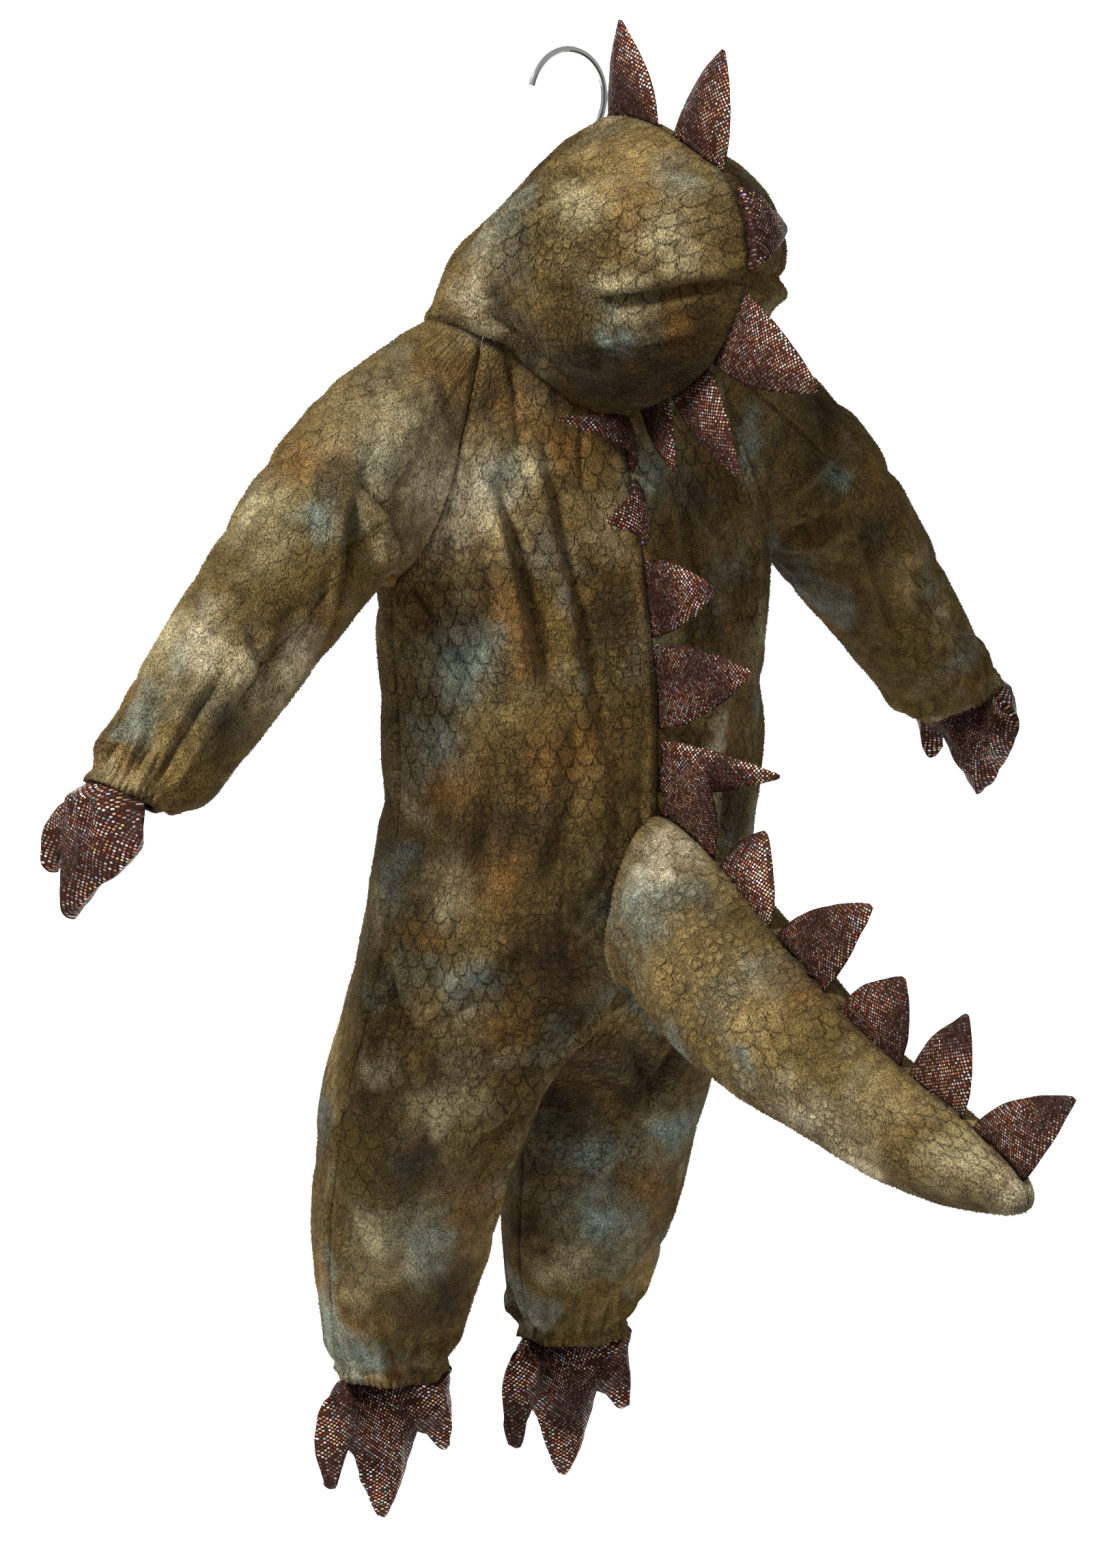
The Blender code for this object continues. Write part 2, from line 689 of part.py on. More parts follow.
def tail_sections():
    """Ridge to under seam, point rows of the left half, the root first."""
    centres = [(back_surface_y(0, TAIL_ROOT_Z), TAIL_ROOT_Z)]
    centres += [row[:2] for row in TAIL_ROWS]
    centres.append(TAIL_TIP)
    root = []
    for k in range(TAIL_STEPS + 1):
        angle = math.pi * k / TAIL_STEPS
        x = TAIL_ROOT_HALF_WIDTH * math.sin(angle)
        z = TAIL_ROOT_Z + TAIL_ROOT_HALF_HEIGHT * math.cos(angle)
        root.append(np.array([x, back_surface_y(x, z) + TAIL_ROOT_GAP, z]))
    sections = [root]
    for i, (y, z, half_height, half_width) in enumerate(TAIL_ROWS, start=1):
        along = unit(np.subtract(centres[i + 1], centres[i - 1]).astype(float))
        up = np.array([0.0, -along[1], along[0]])
        section = []
        for k in range(TAIL_STEPS + 1):
            angle = math.pi * k / TAIL_STEPS
            section.append(np.array([half_width * math.sin(angle), y, z])
                           + up * half_height * math.cos(angle))
        sections.append(section)
    return sections


def tail_half(name, mirror):
    """A closed stuffed half: skin, root face on the back, and the flat face at the seam."""
    sections = tail_sections()
    points = []
    rows = []
    for section in sections:
        row = []
        for point in section:
            row.append(len(points))
            points.append(np.array([max(point[0], SEAM_GAP / 2), point[1], point[2]]))
        rows.append(row)
    tip = len(points)
    points.append(np.array([SEAM_GAP / 2, *TAIL_TIP]))
    faces = []
    for one, two in zip(rows, rows[1:]):
        for k in range(TAIL_STEPS):
            faces.append((one[k], one[k + 1], two[k + 1], two[k]))
    for k in range(TAIL_STEPS):
        faces.append((rows[-1][k], rows[-1][k + 1], tip))
    seat = [rows[0][0]]
    middle = [rows[0][0]]
    for k in range(1, TAIL_STEPS):
        place = points[rows[0][k]]
        for share, store in ((0.5, middle), (0.0, seat)):
            x = max(place[0] * share, SEAM_GAP / 2)
            store.append(len(points))
            points.append(np.array([x, back_surface_y(x, place[2]) + TAIL_ROOT_GAP, place[2]]))
    seat.append(rows[0][-1])
    middle.append(rows[0][-1])
    for near, far in ((rows[0], middle), (middle, seat)):
        for k in range(TAIL_STEPS):
            corners = [near[k], far[k], far[k + 1], near[k + 1]]
            face = []
            for corner in corners:
                if corner not in face:
                    face.append(corner)
            if len(face) > 2:
                faces.append(tuple(face))
    ridge = [row[0] for row in rows[1:]]
    under = [row[-1] for row in rows[1:]]
    faces.append(tuple([*seat, *under, tip, *reversed(ridge)]))
    if mirror:
        points = [p * np.array([-1.0, 1.0, 1.0]) for p in points]
        faces = [face[::-1] for face in faces]
    return add_object(name, points, faces, "plush")


def build_tail():
    tail_half("tail_left", False)
    tail_half("tail_right", True)
    ridge = [section[0][1:] for section in tail_sections()]
    return Line(ridge + [TAIL_TIP])


def back_line():
    """The middle seam down the back, straight from one row of the panel to the next."""
    levels = [*np.linspace(BACK_NECK_Z, PANEL_LEVELS[0], YOKE_STEPS + 1), *PANEL_LEVELS[1:4]]
    points = []
    for one, two in zip(levels, levels[1:]):
        for share in (0.0, 0.25, 0.5, 0.75):
            y = back_surface_y(0, one) * (1 - share) + back_surface_y(0, two) * share
            points.append((y, one + (two - one) * share))
    return Line(points)


def spike(name, seam, start, end, tip, belly, curl):
    """A stuffed spike: two puffed sides that meet at the base line and along the edges."""
    share_a, share_b = seam.nearest(start), seam.nearest(end)
    middle = (share_a + share_b) / 2
    ahead = seam.direction(middle) * (1 if share_b > share_a else -1)
    outward_2d = np.array([ahead[1], -ahead[0]])
    centre_2d = seam.at(middle)
    towards = np.array(tip[1:], dtype=float) - centre_2d
    if np.dot(outward_2d, towards) < 0 and curl == 0:
        outward_2d = -outward_2d
    if curl and outward_2d[0] < 0:
        outward_2d = -outward_2d
    outward = np.array([0.0, *outward_2d])

    def base(s):
        return np.array([0.0, *seam.at(share_a + (share_b - share_a) * (s + 1) / 2)]) \
            + outward * SEAT_GAP

    foot = (base(-1) + base(1)) / 2
    half = (base(1) - base(-1)) / 2
    tip_point = np.array(tip, dtype=float)
    height = np.linalg.norm(tip_point - base(0))
    handle = base(0) + outward * height * (curl or 0.45)
    if curl == 0:
        handle = (handle + (base(0) + tip_point) / 2) / 2
    points = []
    index = {}
    for i in range(SPIKE_UP + 1):
        t = i / SPIKE_UP
        spine = (1 - t)**2 * foot + 2 * t * (1 - t) * handle + t**2 * tip_point
        run = unit(2 * (1 - t) * (handle - foot) + 2 * t * (tip_point - handle))
        side = unit(np.cross(unit(half), run))
        width = (1 - t)**0.62 * (1 + 0.20 * math.sin(math.pi * t))
        width = max(width, SPIKE_TIP_SHARE)
        for j in range(SPIKE_ACROSS + 1):
            s = 2 * j / SPIKE_ACROSS - 1
            flat = spine + half * s * width + (base(s) - foot - half * s) * (1 - t)**2
            puff = belly / 2 * math.sqrt(max(1 - s * s, 0)) * math.sin(math.pi * t**0.75)**0.7 \
                if 0 < t < 1 else 0.0
            rim = j in (0, SPIKE_ACROSS) or i in (0, SPIKE_UP)
            for layer in (1, -1):
                if rim and layer == -1:
                    index[i, j, -1] = index[i, j, 1]
                    continue
                index[i, j, layer] = len(points)
                points.append(flat + side * puff * layer)
    faces = []
    for i in range(SPIKE_UP):
        for j in range(SPIKE_ACROSS):
            corners = [(i, j), (i, j + 1), (i + 1, j + 1), (i + 1, j)]
            if (2 * i < SPIKE_UP) != (2 * j < SPIKE_ACROSS):
                corners = corners[1:] + corners[:1]
            for a, b, c in (corners[:3], [corners[0], *corners[2:]]):
                faces.append((index[*a, 1], index[*b, 1], index[*c, 1]))
                faces.append((index[*c, -1], index[*b, -1], index[*a, -1]))
    return add_object(name, points, faces, "dotted_knit")


def build_spikes(seams):
    for values in SPIKES:
        row = dict(zip(SPIKE_COLUMNS, values))
        spike(row["name"], seams[row["seam"]], row["start"], row["end"], row["tip"],
              row["belly"], row["curl"])


def rounded_outline(outline, between=3):
    """The outline's corners joined by smooth curves, the claw tips and notches kept."""
    pts = [np.array(p, dtype=float) for p in outline]
    count = len(pts)
    dense = []
    for k in range(count):
        a, b, c, d = (pts[(k + n - 1) % count] for n in range(4))
        for step in range(between - 1):
            t = step / (between - 1)
            dense.append(0.5 * (2 * b + (c - a) * t + (2 * a - 5 * b + 4 * c - d) * t**2
                                + (3 * b - a - 3 * c + d) * t**3))
    return dense


def inside_polygon(point, polygon):
    hit = False
    for a, b in zip(polygon, polygon[1:] + polygon[:1]):
        if (a[1] > point[1]) != (b[1] > point[1]):
            if point[0] < a[0] + (point[1] - a[1]) * (b[0] - a[0]) / (b[1] - a[1]):
                hit = not hit
    return hit


def edge_distance(point, polygon):
    best = 1e9
    for a, b in zip(polygon, polygon[1:] + polygon[:1]):
        t = min(max(np.dot(point - a, b - a) / np.dot(b - a, b - a), 0.0), 1.0)
        best = min(best, np.linalg.norm(point - a - t * (b - a)))
    return best


def claw_pad(name, outline, place):
    """A stuffed pad cut to an outline; place turns (across, down, puff) into a point."""
    edge = [np.array([p[0], min(p[1], 0.0)]) for p in rounded_outline(outline)]
    low = np.min(edge, axis=0)
    high = np.max(edge, axis=0)
    flat = [Vector(p) for p in edge]
    for i in range(int((high[1] - low[1]) / CLAW_GRID) + 2):
        for j in range(int((high[0] - low[0]) / CLAW_GRID) + 2):
            spot = np.array([low[0] + (j + 0.5 * (i % 2)) * CLAW_GRID, low[1] + i * CLAW_GRID])
            if inside_polygon(spot, edge) and edge_distance(spot, edge) > CLAW_EDGE_CLEAR:
                flat.append(Vector(spot))
    loop = list(range(len(edge)))
    spanning = True
    while spanning:
        coords, _, tris, *_ = delaunay_2d_cdt(flat, [], [loop], 1, 0.0001)
        spanning = spans_between_edges(tris, len(edge))
        flat += [(flat[a] + flat[b]) / 2 for a, b in spanning]
    points = []
    upper, lower = {}, {}
    for k, spot in enumerate(coords):
        here = np.array(spot)
        rise = 0.0 if k < len(edge) else min(edge_distance(here, edge) / CLAW_ROUND, 1.0)
        puff = CLAW_BELLY * math.sqrt(max(1 - (1 - rise)**2, 0.0))
        upper[k] = len(points)
        points.append(place(here[0], here[1], puff))
        lower[k] = upper[k]
        if k >= len(edge):
            lower[k] = len(points)
            points.append(place(here[0], here[1], -puff))
    faces = []
    for tri in tris:
        faces.append(tuple(upper[k] for k in tri))
        faces.append(tuple(lower[k] for k in reversed(tri)))
    return add_object(name, points, faces, "dotted_knit")


def spans_between_edges(tris, count):
    """Inner triangle sides that run from outline to outline, which need a point to puff at."""
    spans = set()
    for tri in tris:
        for a, b in zip(tri, tri[1:] + tri[:1]):
            if a < count and b < count and (a - b) % count not in (1, count - 1):
                spans.add((min(a, b), max(a, b)))
    return sorted(spans)


def foot_place(side):
    hem = dict(zip(BODY_COLUMNS, BODY_ROWS[-1]))
    radius = hem["out"] - WALL / 2
    centre = np.array([side * hem["mid_x"], hem["mid_y"], hem["z"] - CUFF_SEAT_GAP])

    def place(across, down, puff):
        sink = smoothstep(-down / 38)
        reach = math.sqrt(max(radius**2 - across**2, 0.0))
        bow = -reach * (1 - 0.72 * sink) - 8 * sink
        return centre + np.array([across, bow + puff, down])
    return place


def hand_place(side, wrist, along):
    """The pad hangs from the outer half of the wrist's edge."""
    radius = SLEEVE_ROWS[-1][3] - WALL / 2
    lead = unit(np.array(along, dtype=float))
    out = unit(np.array([0.87, 0.0, 0.50]))
    centre = np.array(wrist, dtype=float) + lead * CUFF_SEAT_GAP

    def place(across, down, puff):
        sink = smoothstep(-down / 32)
        reach = math.sqrt(max(radius**2 - across**2, 0.0))
        bow = reach * (1 - 0.75 * sink) + 4 * sink
        hang = unit(lead * (1 - sink) + np.array([0.28, 0.0, -0.96]) * sink)
        point = centre + np.array([0.0, across, 0.0]) + out * (bow + puff) + hang * -down
        point[0] *= side
        return point
    return place


def build_claws():
    for side, word in ((1, "left"), (-1, "right")):
        claw_pad("foot_claw_" + word, FOOT_OUTLINE, foot_place(side))
        wrist = SLEEVE_ROWS[-1][:3]
        claw_pad("hand_claw_" + word, HAND_OUTLINE, hand_place(side, wrist, CUFF_DIRECTION))


def tube(name, route, radius, sides, finish, turned=0.0):
    """A closed tube along points that lie in the plane of the hanger."""
    points = []
    for k, here in enumerate(route):
        before = route[max(k - 1, 0)]
        after = route[min(k + 1, len(route) - 1)]
        along = unit(after - before)
        across = np.array([0.0, 1.0, 0.0])
        up = np.cross(along, across)
        for j in range(sides):
            angle = 2 * math.pi * (j + turned) / sides
            points.append(here + up * radius * math.cos(angle) + across * radius * math.sin(angle))
    faces = []
    for k in range(len(route) - 1):
        for j in range(sides):
            m = (j + 1) % sides
            a, b = k * sides, (k + 1) * sides
            faces.append((a + j, a + m, b + m, b + j))
    faces.append(tuple(reversed(range(sides))))
    faces.append(tuple(range(len(points) - sides, len(points))))
    return add_object(name, points, faces, finish)


def hook_route(stem_end_z):
    centre = np.array([HOOK_SHIFT, 0.0, -HOOK_RADIUS])
    ring = HOOK_RADIUS + WIRE / 2
    route = []
    for k in range(25):
        angle = math.radians(HOOK_TIP_ANGLE + (HOOK_END_ANGLE - HOOK_TIP_ANGLE) * k / 24)
        route.append(centre + ring * np.array([math.cos(angle), 0.0, math.sin(angle)]))
    start = route[-1]
    leave = unit(route[-1] - route[-2])
    end = np.array([0.0, 0.0, STEM_TOP_Z])
    reach = np.linalg.norm(end - start) * 0.42
    a = start + leave * reach
    b = end + np.array([0.0, 0.0, reach])
    for k in range(1, 7):
        t = k / 6
        route.append((1 - t)**3 * start + 3 * t * (1 - t)**2 * a + 3 * t**2 * (1 - t) * b
                     + t**3 * end)
    route.append(np.array([0.0, 0.0, stem_end_z]))
    return route


def cloth_underside(grid, normals):
    """Points all over the inner face of a sleeve's cap, close to the hanger's plane."""
    inner = (grid - normals * WALL)[:SLEEVE_CAP_STEPS + 3]
    after = np.roll(inner, -1, axis=1)
    found = []
    for u in np.linspace(0, 1, 7):
        for v in np.linspace(0, 1, 7):
            top = inner[:-1] * (1 - u) + after[:-1] * u
            low = inner[1:] * (1 - u) + after[1:] * u
            found.append((top * (1 - v) + low * v).reshape(-1, 3))
    found = np.concatenate(found)
    return found[(np.abs(found[:, 1]) < BAR_RADIUS + 1) & (found[:, 2] > BAR_LOWEST_Z)]


def height_below(cloth, x):
    """How high the bar's axis may rise at x before it meets the cloth over it."""
    reach = BAR_RADIUS + BAR_CLOTH_GAP
    away = np.hypot(cloth[:, 0] - x, cloth[:, 1])
    near = away < reach
    return (cloth[near, 2] - np.sqrt(reach**2 - away[near]**2)).min()


def build_hanger(panels, normals):
    hub = np.array([0.0, 0.0, BAR_HUB_Z])
    halves = []
    for side, name in ((-1, "sleeve_right"), (1, "sleeve_left")):
        cloth = cloth_underside(panels[name][0], normals[name])
        arm = []
        for x in np.linspace(BAR_FROM_X, BAR_TO_X, BAR_ARM_POINTS):
            arm.append(np.array([side * x, 0.0, height_below(cloth, side * x)]))
        rise = [hub + (arm[0] - hub) * t for t in BAR_RISE_SHARES]
        halves.append(rise + arm)
    route = halves[0][::-1] + [hub] + halves[1]
    tube("hanger_bar", route, BAR_RADIUS, 10, "bar", 0.5)
    top = BAR_HUB_Z + BAR_RADIUS
    tube("hanger_hook", hook_route(top + SEAT_GAP), WIRE / 2, 10, "chrome")


def main():
    for old in list(bpy.data.objects):
        bpy.data.objects.remove(old, do_unlink=True)
    panels, normals = build_garment()
    ridge = build_tail()
    build_spikes({"hood": HOOD_LINE, "back": back_line(), "tail": ridge})
    build_claws()
    build_hanger(panels, normals)


main()
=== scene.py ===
"""A toddler's plush dinosaur costume on its hanger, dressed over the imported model.

Cloth panels become thin draped shells with soft creases, gathers, a pressed scale pattern and
short pile. Spikes and claws become stuffed knit pieces with foil dots. Tables are in millimetres
unless they say otherwise.
"""
import math

import bmesh
import bpy
import numpy as np
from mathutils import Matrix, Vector, noise
from mathutils.bvhtree import BVHTree
from mathutils.kdtree import KDTree


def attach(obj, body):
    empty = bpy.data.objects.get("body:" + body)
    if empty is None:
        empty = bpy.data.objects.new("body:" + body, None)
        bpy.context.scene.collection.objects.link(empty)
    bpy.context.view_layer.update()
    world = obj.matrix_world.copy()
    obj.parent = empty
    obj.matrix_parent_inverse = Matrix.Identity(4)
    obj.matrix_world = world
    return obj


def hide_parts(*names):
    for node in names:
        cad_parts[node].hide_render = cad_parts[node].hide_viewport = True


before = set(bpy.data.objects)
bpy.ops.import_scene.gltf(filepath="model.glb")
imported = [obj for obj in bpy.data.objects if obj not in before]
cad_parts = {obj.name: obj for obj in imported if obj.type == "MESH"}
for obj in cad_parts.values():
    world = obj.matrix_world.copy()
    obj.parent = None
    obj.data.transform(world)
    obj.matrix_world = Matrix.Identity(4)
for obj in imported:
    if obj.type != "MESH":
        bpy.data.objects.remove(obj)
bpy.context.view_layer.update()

MM = 0.001

# Camera: the photograph's turn and height round the costume
CAMERA_TURN = math.radians(142)
CAMERA_RISE = math.radians(9.5)
CAMERA_AWAY = 3.0
CAMERA_AIM = (0.0106, -0.0083, -0.4415)
CAMERA_LENS = 112.9
CAMERA_SENSOR = 36
FLOOR_Z = -1.95
BACKDROP_AWAY = 2.5
BACKDROP_SIZE = 2.6

# Cloth
CLOTH = 2.2 * MM
RIM_ANGLE = math.radians(55)
PILE_LENGTH = 1.3 * MM
BLADE_RADIUS = 0.24 * MM
SEAM_LAP = 0.6 * MM
BINDING_RADIUS = 1.5 * MM
BINDING_STEP = 3 * MM
BINDING_SPOTS = 2.5 * MM
BASE_REACH = 3.0 * MM
BASE_SINK = 1.5 * MM
NECK_REACH = 3.5 * MM
SEAM_HOLD = 10 * MM
PUCKER_DEPTH = 0.9 * MM
PUCKER_SIZE = 9
SWELL_DEPTH = 1.1 * MM
SWELL_PLACE = 6.5 * MM
SWELL_WIDTH = 3.5 * MM
SEAM_SHADE = 2.2 * MM
BRIM_DEPTH = 5.0 * MM
BRIM_SIZE = 26
HANGER_CLEAR = 5 * MM
HANGER_FADE = 12 * MM
SWELLS = (
    # size of the slack cloth's swells, noise seed, height
    (66, 5.0, 1.9), (24, 9.0, 0.9),
)
CREASES = (
    # size of the thin creases' wandering, noise seed, depth
    (58, 21.0, 4.2), (34, 33.0, 2.4),
)
BODY_SHAPE = (
    # height, middle x, middle y, outer half width, inner half width, front depth, back depth
    (-150, 0, 0, 98, 76, 50, 37), (-212, 0, 2, 121, 76, 61, 43), (-260, 0, 5, 135, 76, 67, 57),
    (-310, 0, 9, 142, 76, 72, 64), (-370, 0, 7, 138, 76, 80, 76), (-470, 0, -4, 130, 76, 89, 86),
    (-520, 0, -15, 131, 76, 89, 87), (-560, 27, -26, 105, 76, 86, 81), (-600, 53, -37, 83, 76, 80, 73),
    (-636, 76, -49, 62, 76, 71, 67), (-668, 76, -58, 60, 69, 65, 62), (-740, 74, -77, 56, 55, 56, 56),
    (-794, 73, -87, 44, 44, 43, 43), (-820, 73, -90, 33, 33, 33, 33),
)
PANEL_WIDTH = 0.19
SLEEVE_RADIUS = 0.046
TAIL_RADIUS = 0.042
SLEEVE_LINE = ((104, 6, -190), (193, 9, -275), (265, 3, -358), (315, 0, -409), (327, 2, -414))
TAIL_LINE = ((0, 80, -505), (0, 138, -531), (0, 216, -570), (0, 315, -602), (0, 409, -623))
HOOD_MIDDLE = (0, 62, -122)
HOOD_RADIUS = 0.095
HOOD_SLANT = math.radians(26)

# Soft folds: from, to, half width, depth (negative turns the rolled edge to the other side)
FOLD_STRENGTH = 1.45
FOLD_PROFILE = (
    # height, place across the fold, reach, in half widths: a rolled edge and the valley beside it
    (0.75, 0.75, 0.75), (-1.10, -0.45, 0.55), (-0.35, -1.6, 1.2),
)
FOLDS = (
    ((200, 51, -262), (208, 44, -318), 7, 6.5), ((184, 50, -248), (158, 44, -282), 7, 6.0),
    ((176, 50, -268), (172, 40, -300), 6, 4.5), ((214, 40, -300), (226, 20, -340), 9, 4.5),
    ((267, 38, -318), (257, 40, -345), 7, 3.5), ((297, 0, -334), (322, 17, -385), 6, 3.0),
    ((286, 30, -352), (312, 26, -390), 5, 3.0), ((248, 44, -330), (282, 26, -372), 7, 2.6),
    ((-175, 48, -250), (-149, 43, -272), 7, 5.0), ((-150, 30, -300), (-170, 46, -293), 7, 5.5),
    ((-192, 49, -305), (-224, 36, -362), 7, 4.5), ((-206, 48, -268), (-238, 40, -318), 8, -2.5),
    ((-240, 40, -344), (-292, 24, -378), 7, 3.5), ((-270, 36, -350), (-304, 18, -392), 5, 2.6),
    ((88, 45, -258), (77, 64, -350), 8, 4.5), ((99, 45, -268), (92, 60, -340), 7, -2.6),
    ((143, 15, -303), (122, 40, -348), 7, 4.5), ((60, 50, -236), (46, 81, -385), 9, 3.0),
    ((131, -23, -541), (106, 8, -614), 9, 4.5), ((88, 45, -533), (114, 15, -568), 9, 4.0),
    ((2, 34, -583), (58, 11, -640), 8, 5.5), ((16, 43, -574), (84, 4, -662), 9, 4.5),
    ((134, -2, -440), (130, -9, -548), 6, -3.0), ((115, 2, -620), (114, -32, -728), 10, 3.5),
    ((40, 10, -640), (30, -32, -728), 8, 3.5), ((-58, 29, -606), (-45, -17, -700), 9, 4.5),
    ((-20, 24, -600), (-62, -2, -648), 8, 4.5), ((-69, 43, -232), (-85, 62, -340), 8, 4.0),
    ((-30, 62, -262), (-43, 76, -345), 8, 2.6), ((-110, 40, -300), (-96, 56, -380), 8, 3.2),
    ((-120, 20, -420), (-112, 40, -520), 10, 3.0), ((98, 44, -420), (106, 40, -500), 11, 2.6),
    ((62, 74, -400), (70, 66, -470), 9, 2.4), ((-118, 0, -560), (-112, -28, -660), 10, 3.6),
    ((60, -74, -300), (44, -82, -400), 10, 3.2), ((-70, -70, -310), (-40, -84, -420), 10, 3.6),
    ((0, -96, -520), (-52, -104, -600), 10, 4.0), ((6, -98, -540), (60, -106, -630), 10, 4.2),
    ((96, -60, -440), (84, -88, -540), 11, 3.2), ((-96, -60, -430), (-90, -84, -530), 11, 3.0),
    ((82, -110, -640), (60, -122, -720), 9, 3.2), ((-70, -112, -650), (-92, -120, -730), 9, 3.2),
    ((2, 163, -124), (66, 119, -136), 6, 4.2), ((66, 119, -136), (96, 70, -128), 8, 1.0),
    ((20, 148, -132), (62, 116, -150), 9, -2.0), ((91, 50, -103), (63, 88, -73), 8, 3.0),
    ((15, 143, -157), (60, 99, -167), 7, 3.0), ((50, 125, -80), (16, 158, -112), 8, 2.2),
    ((98, 29, -148), (66, 62, -183), 8, 3.4), ((-2, 163, -128), (-66, 119, -134), 7, 4.0),
    ((-91, 50, -106), (-60, 90, -75), 8, 2.6), ((-98, 29, -150), (-66, 62, -180), 8, 3.0),
    ((-15, 143, -155), (-62, 99, -165), 7, 2.6), ((39, 118, -470), (46, 165, -560), 10, 2.6),
    ((44, 150, -510), (40, 230, -585), 12, -1.6), ((-40, 118, -470), (-46, 165, -560), 10, 2.4),
    ((34, 240, -560), (24, 300, -618), 9, 1.8), ((-34, 240, -560), (-24, 300, -618), 9, 1.8),
)

# Dye and painted shade: where each tie-dyed patch lies in the photograph and how wide it is, each listed
# one by one.
# More are placed by noise all round. Some dark patches are painted shade between the legs and under the
# seat.
PHOTO_WIDTH = 1608
PHOTO_HEIGHT = 2296
DYE_AND_SHADE_PATCHES = {
    # Dyes and painted shade: pixels across and down the photograph, radius in millimetres
    "dark_dye_and_shade": (
        (490, 705, 18), (322, 1085, 14), (560, 560, 14), (705, 900, 22), (827, 1630, 26),
        (930, 1580, 22), (738, 1225, 34), (613, 1715, 20), (649, 1905, 26), (760, 375, 14),
        (960, 520, 38), (850, 530, 28), (735, 440, 12), (712, 580, 10), (1027, 735, 22), (800, 790, 20),
        (900, 900, 18), (1040, 900, 26), (1010, 555, 24), (900, 560, 30), (770, 500, 16),
        # Painted shade between the legs and under the seat
        (880, 1565, 24), (800, 1570, 20), (790, 1700, 14), (775, 1810, 12), (1000, 1560, 20),
        (700, 1580, 14), (1199, 612, 26), (1290, 780, 16), (800, 1400, 24),
    ),
    "rust": (
        (455, 668, 15), (492, 915, 13), (648, 548, 16), (760, 930, 20), (655, 1140, 18),
        (960, 1735, 18), (693, 1772, 20), (720, 1520, 22), (1180, 1440, 12), (933, 330, 14),
        (1020, 350, 16), (985, 480, 13), (760, 580, 14), (827, 650, 18), (842, 1120, 22),
        (714, 1301, 18), (640, 1350, 14),
    ),
    "tan": (
        (620, 1480, 18), (1004, 1417, 28), (1093, 1505, 24), (1300, 1600, 20), (1420, 1640, 20),
        (933, 232, 25), (850, 225, 14), (1327, 842, 15),
    ),
    "blue": (
        (560, 672, 12), (470, 752, 9), (276, 972, 13), (670, 972, 17), (630, 1080, 14), (572, 1285, 15),
        (951, 1300, 20), (884, 1692, 15), (978, 1666, 17), (880, 1790, 19), (613, 1825, 18),
        (675, 1450, 14), (1085, 1560, 9), (900, 492, 8), (727, 697, 13), (950, 690, 15),
        (1093, 640, 10), (1110, 1020, 12), (1224, 702, 8),
    ),
    "pale": (
        (590, 650, 31), (372, 752, 20), (240, 930, 20), (352, 992, 15), (600, 612, 22), (550, 1330, 14),
        (827, 1852, 12), (560, 1822, 20), (658, 1630, 16), (658, 1310, 12), (1199, 1633, 13),
        (847, 297, 16), (987, 357, 18), (907, 430, 13), (780, 677, 13), (1400, 1695, 18),
        (1390, 918, 9),
    ),
    "cream": (
        (655, 715, 24), (312, 938, 14), (430, 990, 14), (965, 1262, 16), (1004, 1228, 12),
        (1164, 1642, 16), (1250, 1692, 14), (1500, 1735, 16), (687, 443, 14),
    ),
}
DYE_AND_SHADE_TINTS = {
    # name: colour, noise seed, noise level it starts at, size of the blotches
    # The dark tint is a dye, and also the painted shade between the legs
    "dark_dye_and_shade": ((0.036, 0.023, 0.010), 3.1, 0.02, 60),
    "rust": ((0.205, 0.105, 0.028), 17.7, 0.12, 46),
    "tan": ((0.310, 0.220, 0.090), 29.3, 0.12, 52),
    "blue": ((0.220, 0.285, 0.260), 41.9, 0.20, 44),
    "pale": ((0.400, 0.350, 0.210), 55.5, 0.25, 50),
    "cream": ((0.560, 0.500, 0.350), 71.3, 0.38, 40),
}
OLIVE = (0.132, 0.090, 0.027)
DYE_WARPS = (
    # size of the noise that frays the patches, how far it reaches, seeds for x, y and z
    (30, 15, (2.0, 6.0, 11.0)), (11, 9, (3.0, 7.0, 12.0)),
)
PATCH_CLEAR = 0.060
SLEEVE_PRESSING = 0.45

# Pressed scales and foil dots, in metres
SCALE_WIDTH = 0.0125
SCALE_HEIGHT = 0.0105
SCALE_WANDER = 0.011
PEBBLES_PER_METRE = 165
DOT_PITCH = 0.0019
WORLD_LIGHT = 0.28

# Panels: flat width and length of the cut in metres, subdivision levels, pile blades
PANELS = {
    "back_left": (0.225, 0.655, 3, 46000),
    "back_right": (0.225, 0.655, 3, 46000),
    "front_left": (0.225, 0.655, 2, 20000),
    "front_right": (0.225, 0.655, 2, 20000),
    "sleeve_left": (0.330, 0.300, 3, 40000),
    "sleeve_right": (0.330, 0.300, 3, 34000),
    "hood_left": (0.270, 0.300, 3, 36000),
    "hood_right": (0.270, 0.300, 3, 26000),
}
TAIL_HALVES = {"tail_left": 30000, "tail_right": 20000}
TAIL_LEVELS = 3
TAIL_FLAT = 0.3 * MM
TAIL_GAP = 0.08 * MM
CUFFS = (
    # middle of the cuff, its direction, how far its gathers run, folds round it
    ((327, 2, -414), (0.50, 0.0, -0.87), 46, 15),
    ((-327, 2, -414), (-0.50, 0.0, -0.87), 46, 14),
    ((73, -90, -820), (0.0, 0.04, -1.0), 52, 17),
    ((-73, -90, -820), (0.0, 0.04, -1.0), 52, 18),
)
GATHER_DEPTH = 2.6 * MM
CUFF_NEAR = 0.11
CUFF_CINCH = 2.2 * MM
CUFF_FLARE = 1.6 * MM
RUFFLE_REACH = 6 * MM
BUNCH_PLACE = 21 * MM
BUNCH_REACH = 13 * MM
CINCH_PLACE = 8.5 * MM
CINCH_REACH = 3.5 * MM
HEM_REACH = 60 * MM
HEM_FADE = 25 * MM

